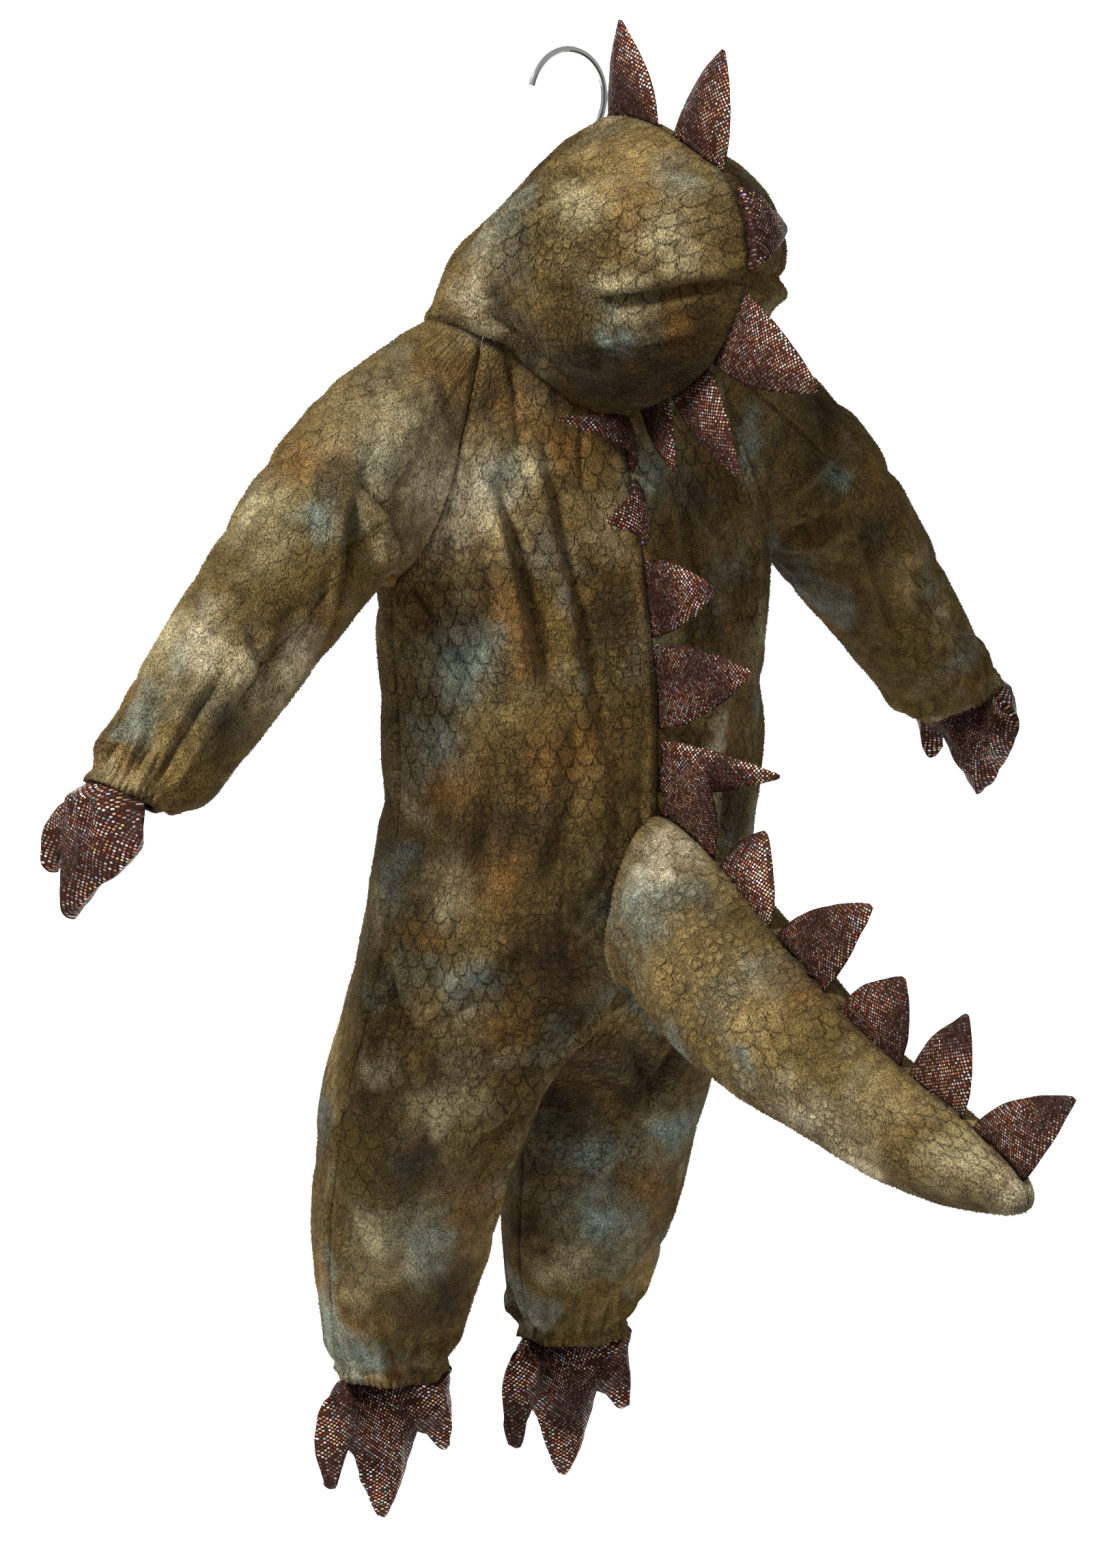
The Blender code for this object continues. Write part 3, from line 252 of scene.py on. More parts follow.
SPIKES = [node for node in sorted(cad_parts) if "_spike_" in node]
SPIKE_LEVELS = 2
SPIKE_CREASE = 0.75
CLAWS = {
    # middle of the top edge, direction across it, direction down
    "hand_claw_left": ((335, 2, -418), (0, 1, 0), (0.28, 0, -0.96)),
    "hand_claw_right": ((-335, 2, -418), (0, 1, 0), (-0.28, 0, -0.96)),
    "foot_claw_left": ((73, -108, -820), (1, 0, 0), (0, 0, -1)),
    "foot_claw_right": ((-73, -108, -820), (1, 0, 0), (0, 0, -1)),
}
CLAW_LEVELS = 3
CLAW_CREASE = 0.6
CLAW_GATHER = 2.8 * MM
CLAW_PLEAT = 4.2 * MM
CLAW_WANDER = 11 * MM
CLAW_FALL = 22 * MM
CLAW_TOP = 3 * MM
CREASED_ANGLE = math.radians(48)

SEWN_TO = [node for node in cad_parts
           if node.startswith(("hood_l", "hood_r", "back_l", "back_r", "tail_l", "tail_r"))]
DYED = [*PANELS, *TAIL_HALVES]


def mm(point):
    return np.array(point, dtype=float) * MM


def merged(node):
    """A CAD node's mesh with its loose triangles joined up."""
    work = bmesh.new()
    work.from_mesh(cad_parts[node].data)
    bmesh.ops.remove_doubles(work, verts=work.verts, dist=1e-6)
    return work


def keep_outer_face(work):
    """Leaves only the wall's outer face: the rims meet it squarely and the inner face is smaller."""
    left = set(work.faces)
    groups = []
    while left:
        start = left.pop()
        group = {start}
        front = [start]
        while front:
            for edge in front.pop().edges:
                if edge.calc_face_angle() > RIM_ANGLE:
                    continue
                for other in edge.link_faces:
                    if other in left:
                        left.discard(other)
                        group.add(other)
                        front.append(other)
        groups.append(group)
    outer = max(groups, key=lambda group: sum(face.calc_area() for face in group))
    bmesh.ops.delete(work, geom=[face for face in work.faces if face not in outer],
                     context="FACES")


def to_quads(work):
    bmesh.ops.join_triangles(work, faces=work.faces[:], angle_face_threshold=math.radians(50),
                             angle_shape_threshold=math.radians(100))


def new_piece(name, work):
    mesh = bpy.data.meshes.new(name)
    work.to_mesh(mesh)
    work.free()
    mesh.shade_smooth()
    piece = bpy.data.objects.new(name, mesh)
    bpy.context.scene.collection.objects.link(piece)
    return piece


def keep_border(work):
    """Holds the open edge just past the neighbouring panel's edge, so seams stay shut."""
    held = work.verts.layers.float.new("crease_vert")
    moves = {}
    for edge in work.edges:
        if edge.is_boundary:
            face = edge.link_faces[0]
            out = (edge.verts[1].co - edge.verts[0].co).cross(face.normal).normalized()
            if out.dot(edge.verts[0].co - face.calc_center_median()) < 0:
                out.negate()
            for vert in edge.verts:
                vert[held] = 1.0
                moves[vert] = moves.get(vert, Vector()) + out
    for vert, out in moves.items():
        vert.co += out.normalized() * SEAM_LAP


def baked(piece):
    """The piece with its modifiers made part of its mesh."""
    graph = bpy.context.evaluated_depsgraph_get()
    mesh = bpy.data.meshes.new_from_object(piece.evaluated_get(graph), depsgraph=graph)
    piece.modifiers.clear()
    piece.data = mesh
    return piece


def subdivided(piece, levels):
    soften = piece.modifiers.new("soften", "SUBSURF")
    soften.levels = levels
    soften.render_levels = levels
    soften.boundary_smooth = "PRESERVE_CORNERS"
    return baked(piece)


def read(mesh, kind="co"):
    data = np.empty(len(mesh.vertices) * 3)
    if kind == "co":
        mesh.vertices.foreach_get("co", data)
    else:
        mesh.vertex_normals.foreach_get("vector", data)
    return data.reshape(-1, 3)


def write(mesh, points):
    mesh.vertices.foreach_set("co", points.ravel())
    mesh.update()


def soft_noise(points, size, seed):
    """Smooth noise from -1 to 1 at each point, with features about size millimetres wide."""
    shift = Vector((seed, seed * 1.7, -seed))
    return np.array([noise.noise(Vector(p) / (size * MM) + shift) for p in points])


def cad_tree(nodes):
    """The CAD surfaces of some nodes, for nearest points."""
    work = bmesh.new()
    for node in nodes:
        work.from_mesh(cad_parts[node].data)
    tree = BVHTree.FromBMesh(work)
    work.free()
    return tree


def camera_axes():
    """The camera's own directions: right, up and back."""
    right = Vector((math.cos(CAMERA_TURN), math.sin(CAMERA_TURN), 0))
    back = Vector((math.sin(CAMERA_TURN) * math.cos(CAMERA_RISE),
                   -math.cos(CAMERA_TURN) * math.cos(CAMERA_RISE), math.sin(CAMERA_RISE)))
    return right, back.cross(right), back


def make_camera():
    """The photograph's view: from behind, a little to the right and above."""
    _, _, back = camera_axes()
    lens = bpy.data.cameras.new("view")
    lens.lens = CAMERA_LENS
    lens.sensor_width = CAMERA_SENSOR
    camera = bpy.data.objects.new("view", lens)
    camera.location = Vector(CAMERA_AIM) + back * CAMERA_AWAY
    camera.rotation_euler = (-back).to_track_quat("-Z", "Y").to_euler()
    bpy.context.scene.collection.objects.link(camera)
    bpy.context.scene.camera = camera


def patch_places():
    """Each dyed patch's place on the cloth, painted shade patches among the dark ones too: a ray from
    the camera finds where each one lies.
    """
    cloth = cad_tree(DYED)
    right, up, back = camera_axes()
    eye = Vector(CAMERA_AIM) + back * CAMERA_AWAY
    pixels = PHOTO_HEIGHT * CAMERA_LENS / CAMERA_SENSOR
    places = {}
    for name, patches in DYE_AND_SHADE_PATCHES.items():
        places[name] = []
        for across, down, radius in patches:
            aside = right * (across - PHOTO_WIDTH / 2) / pixels
            above = up * (PHOTO_HEIGHT / 2 - down) / pixels
            hit = cloth.ray_cast(eye, aside + above - back)[0]
            if hit is not None:
                places[name].append((np.array(hit), radius * MM))
    return places


def distance_to(tree, points):
    return np.array([tree.find_nearest(p)[3] for p in points])


def edge_distance(mesh, points):
    """How far each vertex lies from the piece's open edge."""
    work = bmesh.new()
    work.from_mesh(mesh)
    border = [v.co.copy() for v in work.verts if v.is_boundary]
    work.free()
    if not border:
        return np.ones(len(points))
    tree = KDTree(len(border))
    for index, spot in enumerate(border):
        tree.insert(spot, index)
    tree.balance()
    return np.array([tree.find(p)[2] for p in points])


def fold_push(points, normals):
    """How far the soft folds move each point: a rolled edge on one side, a valley on the other."""
    push = np.zeros(len(points))
    for start, end, width, depth in FOLDS:
        a, b = mm(start), mm(end)
        run = b - a
        share = (points - a) @ run / (run @ run)
        rel = points - (a + np.clip(share, 0, 1)[:, None] * run)
        side = np.cross(run, normals)
        side /= np.maximum(np.linalg.norm(side, axis=1), 1e-9)[:, None]
        across = np.sum(rel * side, axis=1)
        along = np.sqrt(np.maximum(np.sum(rel**2, axis=1) - across**2, 0))
        u = across / (width * MM)
        fade = np.exp(-(along / (1.6 * width * MM))**2) * np.clip(1.2 - np.abs(share - 0.5), 0, 1)
        profile = sum(height * np.exp(-((u - place) / reach)**2)
                      for height, place, reach in FOLD_PROFILE)
        push += FOLD_STRENGTH * depth * MM * profile * fade
    return push


def gather_move(points):
    """Uneven gathers where elastic pulls the cuffs in: every point moves from its cuff's middle line."""
    move = np.zeros_like(points)
    for index, (middle, way, reach, folds) in enumerate(CUFFS):
        way = mm(way) / np.linalg.norm(mm(way))
        side = np.cross(way, (0.0, 1.0, 0.0))
        side /= np.linalg.norm(side)
        ahead = np.cross(way, side)
        rel = points - mm(middle)
        above = -(rel @ way)
        near = (np.linalg.norm(rel, axis=1) < CUFF_NEAR) & (above < reach * MM)
        angle = np.arctan2(rel @ side, rel @ ahead)
        ripple = np.cos(folds * angle + 3 * np.sin(angle + index)) \
            + 0.6 * np.cos((folds * 2 - 5) * angle + 2 * np.sin(2 * angle) + index)
        fine = np.cos((folds * 2 + 9) * angle + 2 * np.sin(3 * angle))
        ruffle = 0.55 * np.exp(-(above / RUFFLE_REACH)**2)
        bunch = np.exp(-((above - BUNCH_PLACE) / BUNCH_REACH)**2)
        cinch = -CUFF_CINCH * np.exp(-((above - CINCH_PLACE) / CINCH_REACH)**2)
        push = (ripple * bunch + fine * ruffle) * GATHER_DEPTH + cinch + CUFF_FLARE * ruffle
        out = rel - (rel @ way)[:, None] * way
        out /= np.maximum(np.linalg.norm(out, axis=1), 1e-6)[:, None]
        move += out * np.where(near, push, 0)[:, None]
    return move


def hem_share(points):
    """1 at a gathered cuff's edge, 0 away from it."""
    share = np.zeros(len(points))
    for middle, _, _, _ in CUFFS:
        away = np.linalg.norm(points - mm(middle), axis=1)
        share = np.maximum(share, np.clip((HEM_REACH - away) / HEM_FADE, 0, 1))
    return share


def crumple_push(points):
    """The slack of soft cloth: broad swells, and thin creases wandering between them."""
    push = np.zeros(len(points))
    for size, seed, height in SWELLS:
        push += height * MM * soft_noise(points, size, seed)
    for size, seed, depth in CREASES:
        crease = 1 - np.abs(soft_noise(points * np.array([1.15, 1, 0.8]), size, seed))
        share = np.clip(soft_noise(points, size * 1.6, seed + 4) * 2.2 + 0.45, 0, 1)
        push -= depth * MM * share * (np.clip(crease, 0, 1)**9 - 0.25)
    return push


def drape(mesh, hanger):
    """Moves the outer face into its soft shape; the same rule for all pieces keeps seams together."""
    points = read(mesh)
    normals = read(mesh, "normal")
    push = fold_push(points, normals)
    push += crumple_push(points)
    brim = np.clip((points[:, 2] + 0.20) / 0.03, 0, 1) * np.clip((0.045 - points[:, 1]) / 0.04, 0, 1)
    push += BRIM_DEPTH * brim * soft_noise(points, BRIM_SIZE, 44.0)
    border = edge_distance(mesh, points)
    sewn = 1 - hem_share(points)
    held = np.clip(border / SEAM_HOLD, 0, 1)
    pucker = PUCKER_DEPTH * soft_noise(points, PUCKER_SIZE, 13.0) * np.exp(-border / SEAM_HOLD)
    swell = SWELL_DEPTH * np.exp(-((border - SWELL_PLACE) / SWELL_WIDTH)**2)
    push = push * held + (pucker * held + swell) * sewn
    clear = np.clip((distance_to(hanger, points) - HANGER_CLEAR) / HANGER_FADE, 0, 1)
    push = np.where(push < 0, push * clear, push)
    write(mesh, points + normals * push[:, None] + gather_move(points))


def along_line(points, line):
    """Each point's distance down a line and its turn round it."""
    spots = np.array([mm(p) for p in line])
    best = np.full(len(points), 1e9)
    down = np.zeros(len(points))
    turn = np.zeros(len(points))
    start = 0.0
    for a, b in zip(spots, spots[1:]):
        run = b - a
        length = np.linalg.norm(run)
        share = np.clip((points - a) @ run / length**2, 0, 1)
        near = a + share[:, None] * run
        away = np.linalg.norm(points - near, axis=1)
        side = np.cross(run / length, (0.0, 1.0, 0.02))
        side /= np.linalg.norm(side)
        front = np.cross(run / length, side)
        rel = points - near
        angle = np.arctan2(rel @ side, rel @ front)
        closer = away < best
        best = np.where(closer, away, best)
        down = np.where(closer, start + share * length, down)
        turn = np.where(closer, angle, turn)
        start += length
    return down, turn


def cut_places(name, points):
    """Where each point lies on the flat cut, in metres: across the cloth and up it."""
    x, y, z = points.T
    if name.startswith(("back", "front")):
        rows = np.array(BODY_SHAPE, dtype=float)[::-1] * MM
        mid_x, mid_y, out, inn, front, back = (np.interp(z, rows[:, 0], rows[:, k])
                                               for k in range(1, 7))
        depth = back if name.startswith("back") else front
        rel = np.abs(x) - mid_x
        across = np.where(rel > 0, out, inn)
        angle = np.arctan2(np.abs(y - mid_y) / depth, rel / across)
        reach = np.where(mid_x > 0, math.pi - np.arccos(np.clip(mid_x / inn, 0, 1)), math.pi / 2)
        return PANEL_WIDTH * angle / reach * np.sign(x), z
    if name.startswith("sleeve"):
        mirrored = points * np.array([np.sign(x.mean()), 1.0, 1.0])
        down, turn = along_line(mirrored, SLEEVE_LINE)
        return turn * SLEEVE_RADIUS, -down
    if name.startswith("tail"):
        down, turn = along_line(points, TAIL_LINE)
        return turn * TAIL_RADIUS, -down
    rel = points - mm(HOOD_MIDDLE)
    away = np.linalg.norm(rel, axis=1)
    angle = np.arctan2(rel[:, 2], rel[:, 1]) + HOOD_SLANT
    reach = 2 * HOOD_RADIUS * np.sin(np.arccos(np.clip(np.abs(x) / away, 0, 1)) / 2)
    return np.cos(angle) * reach, np.sin(angle) * reach


def store_cut(piece, across, up):
    mesh = piece.data
    layer = mesh.uv_layers.new(name="cut")
    corners = np.empty(len(mesh.loops), dtype=np.int32)
    mesh.loops.foreach_get("vertex_index", corners)
    layer.data.foreach_set("uv", np.stack([across, up], axis=1)[corners].ravel())


def store_dye_and_shade(piece, points, patches):
    """Each vertex's tie-dyed colour with painted shade in the seams and the dark shade patches, and how
    clearly the scales are pressed there.
    """
    colour = np.tile(np.array(OLIVE), (len(points), 1))
    moved = points.copy()
    for size, reach, seeds in DYE_WARPS:
        moved += np.stack([soft_noise(points, size, seed) for seed in seeds], axis=1) * reach * MM
    free = np.ones(len(points))
    for spot, _ in (patch for group in patches.values() for patch in group):
        away = np.linalg.norm(points - spot, axis=1)
        free = np.minimum(free, np.clip(away / PATCH_CLEAR, 0.15, 1))
    for name, (tint, seed, level, size) in DYE_AND_SHADE_TINTS.items():
        share = np.clip((soft_noise(moved, size, seed) - level) / 0.50, 0, 1) * 0.8 * free
        for spot, radius in patches[name]:
            away = np.linalg.norm(moved - spot, axis=1) / radius
            share = np.maximum(share, np.exp(-0.75 * away**2) * 0.90)
        share = share[:, None]
        colour = colour * (1 - share) + np.array(tint) * share
    streak = 1 + 0.22 * soft_noise(points * np.array([1, 1, 0.45]), 6, 19.0)
    colour *= streak[:, None]
    # Painted shade along the seams and open edges, where the cloth dips into the seam
    seam = np.exp(-(edge_distance(piece.data, points) / SEAM_SHADE)**2)
    colour *= (1 - 0.45 * seam)[:, None]
    layer = piece.data.attributes.new("dye_and_shade", "FLOAT_COLOR", "POINT")
    layer.data.foreach_set("color", np.concatenate([colour, np.ones((len(points), 1))], 1).ravel())
    depth = np.clip((points[:, 2] + 0.80) / 0.16, 0.25, 1)
    if "sleeve" in piece.name:
        depth *= SLEEVE_PRESSING
    pressed = piece.data.attributes.new("pressed", "FLOAT", "POINT")
    pressed.data.foreach_set("value", depth)


def thickened(piece):
    wall = piece.modifiers.new("cloth", "SOLIDIFY")
    wall.thickness = CLOTH
    wall.offset = -1
    return baked(piece)


class Shader:
    """A material's node tree, with short calls for its nodes."""

    def __init__(self, name):
        self.material = bpy.data.materials.new(name)
        self.material.use_nodes = True
        self.tree = self.material.node_tree
        self.main = self.tree.nodes["Principled BSDF"]

    def node(self, kind, **settings):
        made = self.tree.nodes.new(kind)
        for key, value in settings.items():
            setattr(made, key, value)
        return made

    def set(self, socket, value):
        if isinstance(value, bpy.types.NodeSocket):
            self.tree.links.new(value, socket)
        else:
            socket.default_value = value

    def math(self, operation, *values):
        made = self.node("ShaderNodeMath", operation=operation)
        for socket, value in zip(made.inputs, values):
            self.set(socket, value)
        return made.outputs[0]

    def step(self, value, low, high, first=0.0, last=1.0):
        """A smooth change from first to last as the value goes from low to high."""
        made = self.node("ShaderNodeMapRange", interpolation_type="SMOOTHSTEP")
        for socket, number in zip(made.inputs, (value, low, high, first, last)):
            self.set(socket, number)
        return made.outputs[0]

    def mix(self, factor, one, two, blend="MIX"):
        made = self.node("ShaderNodeMix", data_type="RGBA", blend_type=blend)
        self.set(made.inputs[0], factor)
        self.set(made.inputs[6], one)
        self.set(made.inputs[7], two)
        return made.outputs[2]

    def grey(self, value):
        made = self.node("ShaderNodeCombineColor")
        for socket in made.inputs:
            self.set(socket, value)
        return made.outputs[0]

    def object_noise(self, scale, detail=2.0, stretch=(1, 1, 1)):
        place = self.node("ShaderNodeTexCoord").outputs["Object"]
        turn = self.node("ShaderNodeMapping")
        turn.inputs["Scale"].default_value = stretch
        self.set(turn.inputs["Vector"], place)
        made = self.node("ShaderNodeTexNoise")
        self.set(made.inputs["Vector"], turn.outputs[0])
        made.inputs["Scale"].default_value = scale
        made.inputs["Detail"].default_value = detail
        return made.outputs["Fac"]

    def bump(self, height, distance, normal=None):
        made = self.node("ShaderNodeBump")
        made.inputs["Distance"].default_value = distance
        self.set(made.inputs["Height"], height)
        if normal is not None:
            self.set(made.inputs["Normal"], normal)
        return made.outputs[0]


def cut_place(shader):
    """The flat cut's place at each point, and its two parts."""
    layer = shader.node("ShaderNodeUVMap", uv_map="cut")
    split = shader.node("ShaderNodeSeparateXYZ")
    shader.set(split.inputs[0], layer.outputs[0])
    return layer.outputs[0], split.outputs[0], split.outputs[1]


def scallops(s, across, up, width, height):
    """Height of rows of U-shaped scales: domes with a groove round the bottom and sides."""
    row = s.math("FLOOR", s.math("DIVIDE", up, height))
    odd = s.math("MODULO", s.math("ABSOLUTE", row), 2.0)
    shifted = s.math("ADD", s.math("DIVIDE", across, width), s.math("MULTIPLY", odd, 0.5))
    u = s.math("MULTIPLY", s.math("ABSOLUTE", s.math("SUBTRACT", s.math("FRACT", shifted), 0.5)), 2.0)
    v = s.math("FRACT", s.math("DIVIDE", up, height))
    curve = s.math("ADD", s.math("MULTIPLY", s.math("POWER", u, 4.0), 0.95), 0.06)
    slope = s.math("ADD", s.math("MULTIPLY", s.math("POWER", u, 3.0), 6.0), 1.0)
    away = s.math("DIVIDE", s.math("ABSOLUTE", s.math("SUBTRACT", v, curve)), slope)
    groove = s.step(away, 0.01, 0.065)
    inside = s.step(s.math("SUBTRACT", v, curve), -0.02, 0.30)
    return groove, inside


def plush_material(name, pile):
    """Short plush: tie-dyed with painted shade in its vertex colours, pressed with scales with painted
    shade in their grooves, dull with a soft bright rim.
    """
    s = Shader(name)
    # The vertex colours: dyes with painted seam shade and painted shade between the legs
    dye_and_shade = s.node("ShaderNodeAttribute", attribute_name="dye_and_shade").outputs["Color"]
    speck = s.object_noise(1500, 3.0, (1, 1, 0.45))
    blotch = s.object_noise(120, 3.0)
    colour = s.mix(s.step(speck, 0.30, 0.72), (0.34, 0.32, 0.28, 1), (1.68, 1.65, 1.58, 1))
    colour = s.mix(1.0, dye_and_shade, colour, "MULTIPLY")
    patchy = s.mix(s.step(blotch, 0.34, 0.66), (0.80, 0.78, 0.74, 1), (1.20, 1.18, 1.14, 1))
    colour = s.mix(1.0, colour, patchy, "MULTIPLY")
    s.main.inputs["Roughness"].default_value = 0.92
    s.main.inputs["Specular IOR Level"].default_value = 0.12
    s.main.inputs["Sheen Weight"].default_value = 0.06
    s.main.inputs["Sheen Roughness"].default_value = 0.45
    s.main.inputs["Sheen Tint"].default_value = (0.90, 0.84, 0.70, 1)
    if not pile:
        cut, across, up = cut_place(s)
        wander = s.object_noise(38, 2.0)
        wander_up = s.math("ADD", up, s.math("MULTIPLY", wander, SCALE_WANDER))
        sideways = s.math("MULTIPLY", s.object_noise(31, 2.0), SCALE_WANDER)
        wander_across = s.math("ADD", across, sideways)
        groove, inside = scallops(s, wander_across, wander_up, SCALE_WIDTH, SCALE_HEIGHT)
        pebbles = s.node("ShaderNodeTexVoronoi", feature="DISTANCE_TO_EDGE")
        pebbles.inputs["Scale"].default_value = PEBBLES_PER_METRE
        pebbles.inputs["Randomness"].default_value = 0.62
        s.set(pebbles.inputs["Vector"], cut)
        pebble = s.step(pebbles.outputs["Distance"], 0.02, 0.22)
        region = s.step(s.object_noise(13, 1.0), 0.48, 0.54)
        clear = s.step(s.object_noise(19, 2.0), 0.34, 0.62, 0.30, 1.0)
        pressed = s.node("ShaderNodeAttribute", attribute_name="pressed").outputs["Fac"]
        pressed = s.math("MULTIPLY", pressed, clear)
        lines = s.math("ADD", s.math("MULTIPLY", groove, s.math("SUBTRACT", 1.0, region)),
                       s.math("MULTIPLY", pebble, region))
        dome = s.math("MULTIPLY", s.math("MULTIPLY", inside, 0.35), s.math("SUBTRACT", 1.0, region))
        relief = s.math("MULTIPLY", s.math("ADD", lines, dome), pressed)
        # Painted shade in the scale grooves: the colour darkens where the scales are pressed
        shade = s.math("SUBTRACT", 1.0, s.math("MULTIPLY", s.math("SUBTRACT", 1.0, lines), pressed))
        colour = s.mix(shade, s.mix(1.0, colour, (0.66, 0.64, 0.62, 1), "MULTIPLY"), colour)
        raised = s.bump(relief, 0.0020)
        s.set(s.main.inputs["Normal"], s.bump(speck, 0.0012, raised))
    s.set(s.main.inputs["Base Color"], colour)
    return s.material


def foil_dot_material(name):
    """Dark knit with small foil dots on a slanted grid, each dot with its own painted glint, under
    larger patches of painted highlight and shade.
    """
    s = Shader(name)
    _, across, up = cut_place(s)
    along = s.math("DIVIDE", s.math("ADD", across, up), DOT_PITCH * math.sqrt(2))
    over = s.math("DIVIDE", s.math("SUBTRACT", across, up), DOT_PITCH * math.sqrt(2))
    cell_x = s.math("SUBTRACT", s.math("FRACT", along), 0.5)
    cell_y = s.math("SUBTRACT", s.math("FRACT", over), 0.5)
    away = s.math("SQRT", s.math("ADD", s.math("POWER", s.math("ABSOLUTE", cell_x), 2.0),
                                 s.math("POWER", s.math("ABSOLUTE", cell_y), 2.0)))
    dot = s.step(away, 0.27, 0.34, 1.0, 0.0)
    cell = s.node("ShaderNodeCombineXYZ")
    s.set(cell.inputs[0], s.math("FLOOR", along))
    s.set(cell.inputs[1], s.math("FLOOR", over))
    chance = s.node("ShaderNodeTexWhiteNoise", noise_dimensions="2D")
    s.set(chance.inputs["Vector"], cell.outputs[0])
    glint = s.node("ShaderNodeValToRGB")
    glint.color_ramp.interpolation = "CONSTANT"
    # chance each tint starts at, tint: the dots' copper colour with painted glints, dim dots and painted
    # holographic reflections
    stops = ((0.0, (0.14, 0.04, 0.02)), (0.30, (0.46, 0.20, 0.12)), (0.55, (0.80, 0.48, 0.34)),
             (0.72, (1.00, 0.88, 0.80)), (0.86, (0.72, 0.22, 0.10)), (0.90, (0.26, 0.50, 0.36)),
             (0.93, (0.85, 0.60, 0.20)), (0.96, (0.34, 0.38, 0.66)), (0.98, (0.90, 0.16, 0.10)))
    ramp = glint.color_ramp
    while len(ramp.elements) < len(stops):
        ramp.elements.new(0.5)
    for element, (place, tint) in zip(ramp.elements, stops):
        element.position = place
        element.color = (*tint, 1)
    s.set(glint.inputs[0], chance.outputs["Value"])
    # Painted highlight and shade: larger patches where the dots are brighter, and others where they are
    # dimmer
    glow = s.step(s.object_noise(24, 2.0), 0.38, 0.64, 0.24, 1.40)
    lit = s.mix(1.0, glint.outputs[0], s.grey(glow), "MULTIPLY")
    knit = s.step(s.object_noise(1700, 2.0), 0.3, 0.7)
    base = s.mix(knit, (0.010, 0.003, 0.002, 1), (0.040, 0.014, 0.010, 1))
    s.set(s.main.inputs["Base Color"], s.mix(dot, base, lit))
    s.set(s.main.inputs["Metallic"], s.math("MULTIPLY", dot, 0.85))
    s.set(s.main.inputs["Roughness"], s.step(dot, 0.0, 1.0, 0.62, 0.26))
    s.main.inputs["Specular IOR Level"].default_value = 0.15
    relief = s.math("ADD", s.math("MULTIPLY", dot, 0.5), s.math("MULTIPLY", knit, 0.35))
    crumple = s.bump(s.object_noise(70, 2.0), 0.0010)
    s.set(s.main.inputs["Normal"], s.bump(relief, 0.0004, crumple))
    return s.material


def plain_material(name, colour, roughness, metallic, grain):
    s = Shader(name)
    worn = s.object_noise(grain, 3.0)
    s.set(s.main.inputs["Roughness"], s.step(worn, 0.2, 0.8, roughness * 0.8, roughness * 1.25))
    s.main.inputs["Base Color"].default_value = (*colour, 1)
    s.main.inputs["Metallic"].default_value = metallic
    s.set(s.main.inputs["Normal"], s.bump(worn, 0.0001))
    return s.material


def pile_tree(finish):
    """Geometry Nodes: short thin blades all over a cloth face, leaning down."""
    tree = bpy.data.node_groups.new("pile", "GeometryNodeTree")
    face = tree.interface
    face.new_socket("Cloth", in_out="INPUT", socket_type="NodeSocketGeometry")
    density = face.new_socket("Blades per square metre", in_out="INPUT", socket_type="NodeSocketFloat")
    length = face.new_socket("Blade length", in_out="INPUT", socket_type="NodeSocketFloat")
    seed = face.new_socket("Seed", in_out="INPUT", socket_type="NodeSocketInt")
    face.new_socket("Pile", in_out="OUTPUT", socket_type="NodeSocketGeometry")
    add = tree.nodes.new
    link = tree.links.new
    source = add("NodeGroupInput")
    result = add("NodeGroupOutput")
    scatter = add("GeometryNodeDistributePointsOnFaces")
    link(source.outputs["Cloth"], scatter.inputs["Mesh"])
    link(source.outputs["Blades per square metre"], scatter.inputs["Density"])
    link(source.outputs["Seed"], scatter.inputs["Seed"])
    lean = add("FunctionNodeRandomValue")
    lean.data_type = "FLOAT_VECTOR"
    lean.inputs[0].default_value = (-0.7, -0.7, -1.5)
    lean.inputs[1].default_value = (0.7, 0.7, 0.1)
    link(source.outputs["Seed"], lean.inputs["Seed"])
    way = add("ShaderNodeVectorMath")
    way.operation = "ADD"
    link(scatter.outputs["Normal"], way.inputs[0])
    link(lean.outputs[0], way.inputs[1])
    turn = add("FunctionNodeAlignRotationToVector")
    turn.axis = "Z"
    link(way.outputs[0], turn.inputs["Vector"])
    blade = add("GeometryNodeMeshCone")
    blade.fill_type = "NONE"
    blade.inputs["Vertices"].default_value = 3
    blade.inputs["Radius Top"].default_value = 0.0
    blade.inputs["Radius Bottom"].default_value = BLADE_RADIUS
    link(source.outputs["Blade length"], blade.inputs["Depth"])
    trim = add("GeometryNodeDeleteGeometry")
    trim.domain = "FACE"
    order = add("GeometryNodeInputIndex")
    first = add("FunctionNodeCompare")
    first.data_type = "INT"
    first.operation = "GREATER_THAN"
    first.inputs[3].default_value = 0
    link(order.outputs[0], first.inputs[2])
    link(blade.outputs["Mesh"], trim.inputs["Geometry"])
    link(first.outputs[0], trim.inputs["Selection"])
    size = add("FunctionNodeRandomValue")
    size.inputs[2].default_value = 0.65
    size.inputs[3].default_value = 1.35
    place = add("GeometryNodeInstanceOnPoints")
    link(scatter.outputs["Points"], place.inputs["Points"])
    link(trim.outputs[0], place.inputs["Instance"])
    link(turn.outputs[0], place.inputs["Rotation"])
    link(size.outputs[1], place.inputs["Scale"])
    real = add("GeometryNodeRealizeInstances")
    finished = add("GeometryNodeSetMaterial")
    finished.inputs["Material"].default_value = finish
    link(place.outputs[0], real.inputs[0])
    link(real.outputs[0], finished.inputs[0])
    link(finished.outputs[0], result.inputs[0])
    return tree, density.identifier, length.identifier, seed.identifier


